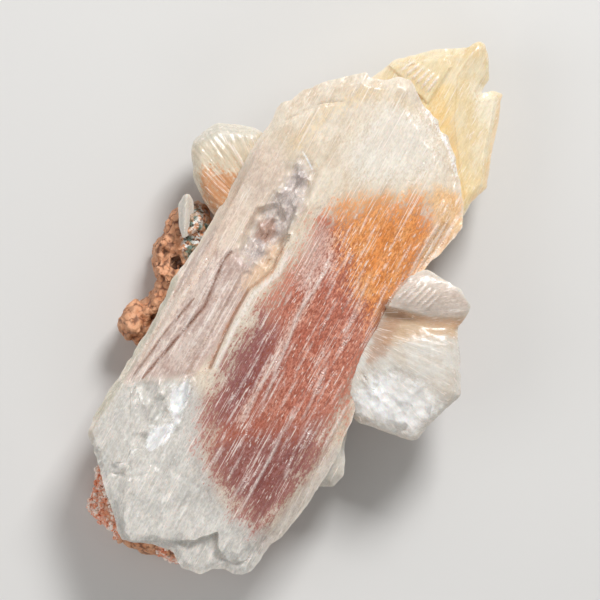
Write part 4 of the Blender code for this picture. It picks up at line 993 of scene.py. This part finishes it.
def blade_front(points):
    """The main blade's front: strips, face plate, foot, hollow, pit and every stria."""
    along, across = along_across(points)
    rim = -outside(points, BLADE_OUTLINE)
    strips = np.array(STRIP_LEVELS)
    top = smooth((along - 9.0) / 9.0)
    level = np.interp(across, strips[:, 0], strips[:, 1]) * (1.0 - 0.85 * top)
    low = smooth((-along - 20.0) / 6.0)
    level += (FOOT_DROP - level) * low
    level += FACE_LEVEL - 0.7 * fall(rim, 1.2)
    face = FACE_LEVEL + 0.65 * (1.0 - ((across - 1.0) / 14.0) ** 2)
    face -= 0.5 * smooth((along - 22.0) / 12.0)
    right = smooth((across + 1.0) / 3.0)
    face -= right * 2.4 * fall(rim, 3.2) ** 1.2 + (1.0 - right) * 0.9 * fall(rim, 1.6)
    face += 0.10 * cloud(along / 9.0, across / 3.6, 5)
    face += 0.12 * smooth((along - 8.0) / 6.0) * cloud(along / 4.5, across / 1.9, 6)
    run = LEDGE_RUN + 1.6 * low * (1.0 - smooth((-points[:, 1] - 31.5) / 1.5)) + 1.2 * top
    level += (face - level) * smooth(fall(outside(points, FACE_EDGE), run))
    slab_level = FACE_LEVEL + FOOT_DROP + 0.35 + 0.2 * cloud(along / 3.0, across / 3.0, 8)
    level += (slab_level - level) * fall(outside(points, LEFT_SLAB), 0.8)
    hollow = smooth(fall(outside(points, BREAK_HOLLOW), 1.8))
    level += hollow * (1.5 * broken_faces(along / 1.3, across, 1.9, 0.2, 12) - 0.35)
    for facet, height, slope in BREAK_FACETS:
        middle = np.mean(np.array(facet), axis=0)
        plane = height + (points - middle) @ np.array(slope)
        level += plane * smooth(fall(outside(points, facet), 1.4))
    pitted = smooth(fall(outside(points, GREY_PATCH), 1.6))
    level += pitted * (1.5 * broken_faces(along, across, 1.5, 0.24, 21) - 0.25)
    level -= 1.2 * smooth(fall(outside(points, PIT), 1.1))
    level += creases(points, GROOVES) + creases(points, LONG_RIDGES + SCRATCHES)
    level += striae(along, across, 31, 1.0 - 0.75 * hollow)
    level += 0.03 * cloud(along / 0.8, across / 0.5, 44)
    foot = smooth((-along - 20.0) / 5.0) * (1.0 - smooth(fall(outside(points, IRON_ZONE), 4.0)))
    wander = 1.6 * cloud(along / 3.0, across / 3.0, 56)
    level += foot * 1.1 * broken_faces((along + wander) / 2.2, across + wander, 3.6, 0.1, 52)
    level += foot * creases(points, FOOT_LINES)
    return level


def blade_back(points):
    along, across = along_across(points)
    rise = 1.6 * fall(-outside(points, BLADE_OUTLINE), 2.8)
    return BLADE_LOW + 0.35 + rise + striae(along, across, 71, 1.6)


def main_blade():
    points = inner_lattice(BLADE_OUTLINE, 0.4, STEP_ALONG, STEP_ACROSS)
    lines = []
    for plate in (FACE_EDGE, np.array(LEFT_SLAB)):
        closed = np.concatenate((plate, plate[:1]))
        lines.append(closed)
    piece = slab("main_blade_crystal", BLADE_OUTLINE, blade_front, blade_back, points,
                 lines=lines, leaves=11, rough=0.2, seed=2)
    store_zones(piece, MAIN_ZONES)
    store_rim_light(piece, BLADE_OUTLINE, 0.5)
    plan = plan_of(piece)[:, :2]
    store(piece, "ridge", crest_lines(plan, LONG_RIDGES + SCRATCHES))
    along = along_across(plan)[0]
    broken = np.maximum(fall(outside(plan, BREAK_HOLLOW), 1.2), fall(outside(plan, GREY_PATCH), 1.2))
    store(piece, "broken", np.maximum(broken, 0.5 * smooth((-along - 24.0) / 5.0)))
    piece.data.materials.append(stilbite(
        "rose_and_cream_stilbite", "#eadecc", "#dccbb4", MAIN_ZONES, grains=0.2, nick_glints=0.6,
        plain_grains=0.5, plain_nick_glints=0.35, depth=0.6, ridge_highlight=0.65))
    dress(piece, "main_blade")


def golden_tip():
    """The honey blade: two facets on a ridge, a barred facet, and a leafy right edge."""
    bars = []
    for index in range(6):
        share = (index + 0.4) / 6.0
        low = Vector((15.4, 35.8)).lerp(Vector((20.0, 31.9)), share)
        high = low + Vector((2.5 - 0.5 * share, 1.8 + 0.9 * share))
        bars.append(([tuple(low), tuple(high)], 0.5, 0.34))

    def front(points):
        distance = beside(points, GOLDEN_RIDGE)[0]
        right = points[:, 0] > np.interp(points[:, 1], [15, 21, 28, 35, 40],
                                         [25.6, 24.7, 23.9, 24.4, 27.4])
        height = GOLDEN_HIGH - 0.5 - distance * np.where(right, 0.40, 0.12)
        rim = -outside(points, GOLDEN_OUTLINE)
        height -= 0.7 * fall(rim, 1.2)
        height += 0.45 * fall(outside(points, GOLDEN_FACET), 0.35)
        height += creases(points, bars)
        x, y = points[:, 0], points[:, 1]
        height += 0.16 * (1.0 - 2.0 * np.abs(cloud(rim / 0.8, (x + y) / 14.0, 61))) * fall(rim, 3.5)
        height += 0.10 * cloud(x / 3.5, y / 5.0, 62)
        height += 0.03 * cloud(x / 0.5, y / 0.9, 63)
        return height + 0.25 * broken_faces(x, y, 3.4, 0.06, 64)

    def back(points):
        along, across = along_across(points)
        rise = 2.2 * fall(-outside(points, GOLDEN_OUTLINE), 3.5)
        return GOLDEN_LOW + rise + striae(along, across, 73, 1.2)

    points = inner_lattice(GOLDEN_OUTLINE, 0.4, 0.3, 0.2, tilt=math.radians(80.0))
    piece = slab("golden_tip_crystal", GOLDEN_OUTLINE, front, back, points,
                 lines=[np.array(GOLDEN_RIDGE)], leaves=8, rough=0.16, seed=5)
    store_zones(piece, GOLDEN_ZONES)
    store_rim_light(piece, GOLDEN_OUTLINE, 0.4)
    store(piece, "ridge", crest_lines(plan_of(piece)[:, :2], bars))
    piece.data.materials.append(stilbite(
        "honey_stilbite", "#eedfc0", "#e6cfa2", GOLDEN_ZONES, nick_glints=0.2, grains=0.07,
        roughness=0.24, depth=1.6, bump=0.15, ridge_highlight=1.0))
    dress(piece, "golden_tip")


def right_sheaf():
    """The white sheaf: a raised upper lobe, a shaded band, and a broken lower lobe."""
    bars = []
    for index in range(6):
        low = Vector((14.6 + 0.95 * index, 0.7 - 0.2 * index))
        high = low + Vector((3.9, 3.7)) * (1.0 - 0.07 * index)
        bars.append(([tuple(low), tuple(high)], 0.28, 0.26))

    def front(points):
        x, y = points[:, 0], points[:, 1]
        away = np.hypot((x - 18.5) / 11.0, (y + 10.0) / 10.0)
        lower = SHEAF_HIGH - 1.85 - 1.6 * away * away
        band = SHEAF_HIGH - 3.0
        height = band + (lower - band) * smooth((-1.2 - y) / 4.5)
        rim = -outside(points, SHEAF_OUTLINE)
        height -= 1.9 * (1.0 - np.sqrt(1.0 - fall(rim, 2.6) ** 2))
        lobe = SHEAF_HIGH - 0.5 - 0.2 * np.maximum(x - 17.0, 0.0) - 0.1 * (y - 2.4) ** 2
        lobe = lobe + 0.3 * np.clip((x - 16.0) / 2.0, 0.0, 1.0)
        merge = 0.5 + 2.6 * smooth((x - 15.0) / 6.0)
        height += (lobe - height) * smooth(fall(outside(points, SHEAF_LOBE), merge))
        broken = smooth(fall(outside(points, SHEAF_BROKEN), 2.0))
        height -= 0.3 * broken
        reach = np.hypot(x - SHEAF_ROOT[0], y - SHEAF_ROOT[1])
        turn = np.arctan2(y - SHEAF_ROOT[1], x - SHEAF_ROOT[0]) * 14.0
        height += striae(reach, turn, 81, 0.45) + creases(points, bars)
        height += broken * 1.4 * broken_faces(reach / 1.3, turn, 0.8, 0.18, 83)
        return height + 0.02 * cloud(x / 0.5, y / 0.5, 85)

    def back(points):
        x, y = points[:, 0], points[:, 1]
        reach = np.hypot(x - 8.0, y + 6.0)
        turn = np.arctan2(y + 6.0, x - 8.0) * 12.0
        spread = 0.42 * np.maximum(reach - 5.0, 0.0)
        return (SHEAF_LOW + spread + 1.5 * fall(-outside(points, SHEAF_OUTLINE), 2.0)
                + striae(reach, turn, 87, 1.2))

    points = inner_lattice(SHEAF_OUTLINE, 0.4, 0.24, 0.2, tilt=math.radians(20.0))
    piece = slab("right_sheaf_crystal", SHEAF_OUTLINE, front, back, points, leaves=9, rough=0.22,
                 seed=7, rounding=4)
    store_zones(piece, SHEAF_ZONES, SHEAF_ROOT)
    store_rim_light(piece, SHEAF_OUTLINE, 0.5)
    plan = plan_of(piece)[:, :2]
    store(piece, "ridge", crest_lines(plan, bars))
    store(piece, "broken", 0.6 * fall(outside(plan, SHEAF_BROKEN), 1.0))
    piece.data.materials.append(stilbite(
        "pearl_white_stilbite", "#dcd7ce", "#d3c8ba", SHEAF_ZONES, nick_glints=0.4, grains=0.08,
        depth=1.3, bump=0.25))
    dress(piece, "right_sheaf")


def upper_left_fan():
    """The fan: blades that spread from one root, each a rib with a rounded end."""
    def polar(points, root):
        reach = np.hypot(points[:, 0] - root[0], points[:, 1] - root[1])
        turn = np.degrees(np.arctan2(points[:, 1] - root[1], points[:, 0] - root[0]))
        return reach, turn

    def front(points):
        reach, turn = polar(points, FAN_ROOT)
        height = FAN_HIGH - 0.15 - 0.012 * (reach - 7.0) ** 2 - 0.0006 * (turn - 100.0) ** 2
        reach, turn = polar(points, FAN_STRIAE_ROOT)
        rim = -outside(points, FAN_OUTLINE)
        height -= 1.5 * fall(rim, 1.7) ** 1.5
        ribs = 1.0 - 2.0 * np.abs(cloud(reach / 9.0, turn / 2.6, 91))
        fine = 1.0 - 2.0 * np.abs(cloud(reach / 6.0, turn / 1.1, 92))
        return height + 0.12 * ribs + 0.08 * fine + 0.02 * cloud(reach / 0.6, turn / 2.0, 93)

    def back(points):
        reach, turn = polar(points, FAN_ROOT)
        return (FAN_LOW + 2.6 * fall(-outside(points, FAN_OUTLINE), 3.0)
                + 0.15 * cloud(reach / 9.0, turn / 3.0, 95))

    points = inner_lattice(FAN_OUTLINE, 0.35, 0.24, 0.15, tilt=math.radians(100.0))
    piece = slab("upper_left_fan_crystal", FAN_OUTLINE, front, back, points, leaves=7,
                 rough=0.15, seed=9, rounding=4)
    store_zones(piece, FAN_ZONES, FAN_STRIAE_ROOT)
    store_rim_light(piece, FAN_OUTLINE, 0.5)
    piece.data.materials.append(stilbite(
        "fan_stilbite", "#ddd0ba", "#d2c3aa", FAN_ZONES, nick_glints=0.3, grains=0.08, depth=1.3,
        bump=0.25))
    dress(piece, "upper_left_fan")


def small_blades(pearl):
    """The small white crystal by the fan, and the thin blade behind the lower edge."""
    def white_front(points):
        x, y = points[:, 0], points[:, 1]
        height = WHITE_HIGH - 0.1 - 0.7 * np.abs(x + 16.7 - 0.05 * (y - 14.0))
        return height - 0.5 * fall(-outside(points, WHITE_OUTLINE), 0.8)

    def white_back(points):
        return np.full(len(points), WHITE_LOW)

    def lower_front(points):
        along, across = along_across(points)
        rim = -outside(points, LOWER_OUTLINE)
        return LOWER_HIGH - 0.2 - 1.2 * fall(rim, 1.2) + striae(along, across, 101, 0.9)

    def lower_back(points):
        return LOWER_LOW + 1.5 * fall(-outside(points, LOWER_OUTLINE), 2.0)

    for name, node, outline, front, back, seed in (
            ("small_white_point", "small_white_crystal", WHITE_OUTLINE, white_front, white_back, 11),
            ("lower_right_leaf", "lower_right_blade", LOWER_OUTLINE, lower_front, lower_back, 13)):
        points = inner_lattice(outline, 0.3, 0.3, 0.2)
        piece = slab(name, outline, front, back, points, leaves=5, rough=0.1, seed=seed,
                     spread=0.35)
        store_zones(piece, [])
        store_rim_light(piece, outline, 0.4)
        piece.data.materials.append(pearl)
        dress(piece, node)


def dress(piece, node):
    """The piece rides with the cluster and stands for its node."""
    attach(piece, "root")
    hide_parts(node)


# The rock


def ball(detail):
    """The points and triangles of a round lump one unit in radius."""
    mesh = bmesh.new()
    bmesh.ops.create_icosphere(mesh, subdivisions=detail, radius=1.0)
    points = np.array([tuple(vert.co) for vert in mesh.verts])
    faces = np.array([[vert.index for vert in face.verts] for face in mesh.faces])
    mesh.free()
    return points, faces


BALLS = {detail: ball(detail) for detail in (1, 3, 4)}


def add_lump(lumps, centre, radius, height, detail):
    points, faces = BALLS[detail]
    lumps.append((points * (radius, radius, height) + tuple(centre), faces))


def joined(lumps, name):
    """One mesh out of many lumps, in metres."""
    starts = np.cumsum([0] + [len(points) for points, _ in lumps[:-1]])
    verts = np.concatenate([points for points, _ in lumps])
    faces = np.concatenate([faces + start for (_, faces), start in zip(lumps, starts)])
    data = bpy.data.meshes.new(name)
    data.from_pydata((verts * MM).tolist(), [], faces.tolist())
    return data


def rock_lumps():
    """The same lumps as the solid rock, then crust beads over the rows that show."""
    rng = random.Random(11)
    beads = random.Random(12)
    lumps = []
    for centre, radius, height in ROCK_MASSES + ROCK_BRIDGES:
        add_lump(lumps, centre, radius, height, 4)
    for path, radius, count in ROCK_ROWS:
        for index in range(count):
            place = (len(path) - 1) * index / (count - 1)
            leg = min(int(place), len(path) - 2)
            centre = Vector(path[leg]).lerp(Vector(path[leg + 1]), place - leg)
            centre += Vector((rng.uniform(-0.5, 0.5), rng.uniform(-0.5, 0.5), rng.uniform(-1.0, 1.4)))
            size = radius * rng.uniform(0.75, 1.1)
            add_lump(lumps, centre, size, size, 3)
            add_lump(lumps, centre - Vector((-0.8, 0.0, 2.4)), size * 1.3, size * 1.9, 3)
            for _ in range(BEADS_PER_LUMP):
                way = Vector([beads.gauss(0.0, 1.0) for _ in range(3)]).normalized()
                bead = beads.uniform(0.35, 0.75)
                add_lump(lumps, centre + way * (size - 0.15 * bead), bead, bead, 1)
    return joined(lumps, "rock_lumps")


def surface(data):
    """Every point of a mesh in millimetres, and the normals there."""
    count = len(data.vertices)
    place, normals = np.empty(count * 3), np.empty(count * 3)
    data.vertices.foreach_get("co", place)
    data.vertices.foreach_get("normal", normals)
    return place.reshape(-1, 3) / MM, normals.reshape(-1, 3)


def crest_of(data):
    """How far each point stands out of its neighbours, from valleys to crests."""
    place, normals = surface(data)
    count = len(place)
    ends = np.empty(len(data.edges) * 2, dtype=int)
    data.edges.foreach_get("vertices", ends)
    ends = ends.reshape(-1, 2)
    both = np.concatenate((ends, ends[:, ::-1]))
    near = np.bincount(both[:, 0], minlength=count).clip(1)
    soft = place.copy()
    for _ in range(10):
        total = [np.bincount(both[:, 0], soft[both[:, 1], k], count) for k in range(3)]
        soft = np.column_stack(total) / near[:, None]
    return ((place - soft) * normals).sum(1) * 6.0


def matrix_rock():
    """The rock: lumps melted into one, roughened, and broken flat where it rests."""
    data = rock_lumps()
    lumps = bpy.data.objects.new("matrix_rock", data)
    bpy.context.collection.objects.link(lumps)
    melt = lumps.modifiers.new("melt", "REMESH")
    melt.mode = "VOXEL"
    melt.voxel_size = ROCK_VOXEL * MM
    depsgraph = bpy.context.evaluated_depsgraph_get()
    melted = bpy.data.meshes.new_from_object(lumps.evaluated_get(depsgraph))
    lumps.modifiers.clear()
    place, normals = surface(melted)
    pushes = []
    for spot in place.tolist():
        spot = Vector(spot)
        push = noise.noise(spot * 0.16) * 1.3 + noise.noise(spot * 0.5) * 0.7
        pushes.append(push + noise.noise(spot * 1.2) * 0.3 + noise.noise(spot * 2.6) * 0.14)
    rough = place + normals * np.array(pushes)[:, None]
    melted.vertices.foreach_set("co", (rough * MM).ravel())
    melted.update()
    mesh = bmesh.new()
    mesh.from_mesh(melted)
    whole = list(mesh.verts) + list(mesh.edges) + list(mesh.faces)
    bmesh.ops.bisect_plane(mesh, geom=whole, plane_co=(0, 0, 0), plane_no=(0, 0, 1),
                           clear_inner=True, dist=0.002 * MM)
    rim = [edge for edge in mesh.edges if edge.is_boundary]
    bmesh.ops.holes_fill(mesh, edges=rim, sides=0)
    bmesh.ops.triangulate(mesh, faces=mesh.faces)
    mesh.to_mesh(melted)
    mesh.free()
    lumps.data = melted
    bpy.data.meshes.remove(data)
    melted.shade_smooth()
    store(lumps, "crest", crest_of(melted))
    points = plan_of(lumps)
    speckled = np.hypot((points[:, 0] - SPECKLED[0]) / 2.3, (points[:, 1] - SPECKLED[1]) / 5.2)
    store(lumps, "speckled", smooth((1.15 - speckled) / 0.35) * smooth((points[:, 2] - 5.0) / 1.5))
    druse = np.hypot((points[:, 0] - DRUSE[0]) / 4.5, (points[:, 1] - DRUSE[1]) / 6.5)
    store(lumps, "druse", smooth((1.2 - druse) / 0.4))
    lumps.data.materials.append(iron_crust())
    dress(lumps, "matrix")
    return lumps


def druse_grains(rock):
    """Small faceted grains seated in the pink druse and in a patch below the blade's foot."""
    rng = random.Random(21)
    points, normals = surface(rock.data)
    druse = np.hypot((points[:, 0] - DRUSE[0]) / 4.0, (points[:, 1] - DRUSE[1]) / 6.0) < 1.0
    foot = np.hypot(points[:, 0] - FOOT_DRUSE[0], points[:, 1] - FOOT_DRUSE[1]) < 2.0
    seats = np.flatnonzero((druse | foot) & (points[:, 2] > 2.0))
    lumps = []
    for index in rng.sample(list(seats), min(DRUSE_GRAINS, len(seats))):
        size = rng.uniform(0.22, 0.5)
        way = Vector((rng.gauss(0, 1), rng.gauss(0, 1), rng.gauss(0, 1)))
        turn = np.array(way.to_track_quat("Z", "Y").to_matrix())
        corners, faces = BALLS[1]
        lumps.append((corners @ turn.T * size + points[index] + normals[index] * size * 0.3, faces))
    data = joined(lumps, "druse_grains")
    grains = bpy.data.objects.new("druse_grains", data)
    bpy.context.collection.objects.link(grains)
    data.materials.append(pink_druse())
    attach(grains, "root")


# Studio


# Soft boxes: place and width in metres, power in watts.
LAMPS = {
    "key": ((0.16, 0.34, 0.42), 0.16, 2.6),
    "fill": ((-0.40, -0.05, 0.36), 0.40, 0.7),
    "low_fill": ((0.10, -0.42, 0.30), 0.36, 0.45),
}
FLOOR_SIZE = 3.0
AIR_LIGHT = 0.22

LENS_LENGTH = 300.0                     # long, so the depth of the cluster hardly shows
SENSOR_WIDTH = 36.0
VIEW_WIDTH = 90.0                       # what the frame spans at the blade's face
VIEW_CENTRE = (0.66, 1.14)              # the photograph's middle, in plan


def studio():
    """A pale floor, a broad key light from the upper right, and soft fill all round."""
    bpy.ops.mesh.primitive_plane_add(size=FLOOR_SIZE, location=(0, 0, 0))
    floor = bpy.context.active_object
    floor.name = "studio_floor"
    floor.data.materials.append(paper())
    world = bpy.data.worlds.new("studio_air")
    bpy.context.scene.world = world
    world.use_nodes = True
    air = world.node_tree.nodes["Background"]
    air.inputs["Color"].default_value = (1.0, 0.985, 0.965, 1.0)
    air.inputs["Strength"].default_value = AIR_LIGHT
    for name, (place, size, power) in LAMPS.items():
        lamp = bpy.data.lights.new(name, "AREA")
        lamp.shape = "SQUARE"
        lamp.size = size
        lamp.energy = power
        made = bpy.data.objects.new(name, lamp)
        made.location = place
        made.rotation_euler = (-Vector(place)).to_track_quat("-Z", "Y").to_euler()
        bpy.context.collection.objects.link(made)
    bpy.context.scene.view_settings.view_transform = "Standard"


def camera():
    """Straight above, with a long lens."""
    lens = bpy.data.cameras.new("portrait")
    lens.lens = LENS_LENGTH
    lens.sensor_width = SENSOR_WIDTH
    made = bpy.data.objects.new("portrait", lens)
    away = VIEW_WIDTH * LENS_LENGTH / SENSOR_WIDTH
    made.location = Vector((*VIEW_CENTRE, FACE_LEVEL + away)) * MM
    bpy.context.collection.objects.link(made)
    bpy.context.scene.camera = made


FACE_EDGE = ragged(FACE_PLATE, 0.4, 0.14, 3)
SCRATCHES = (scratches(IRON_ZONE, 80, 41) + scratches(STRIP_PATCH, 45, 42)
             + scratches(RIGHT_SLOPE, 30, 43, 1.5))

camera()
studio()
main_blade()
golden_tip()
right_sheaf()
upper_left_fan()
small_blades(stilbite("small_pearl_stilbite", "#d9d3ca", "#cfc8bc", [], nick_glints=0.3, grains=0.08,
                      depth=1.3, bump=0.25))
druse_grains(matrix_rock())
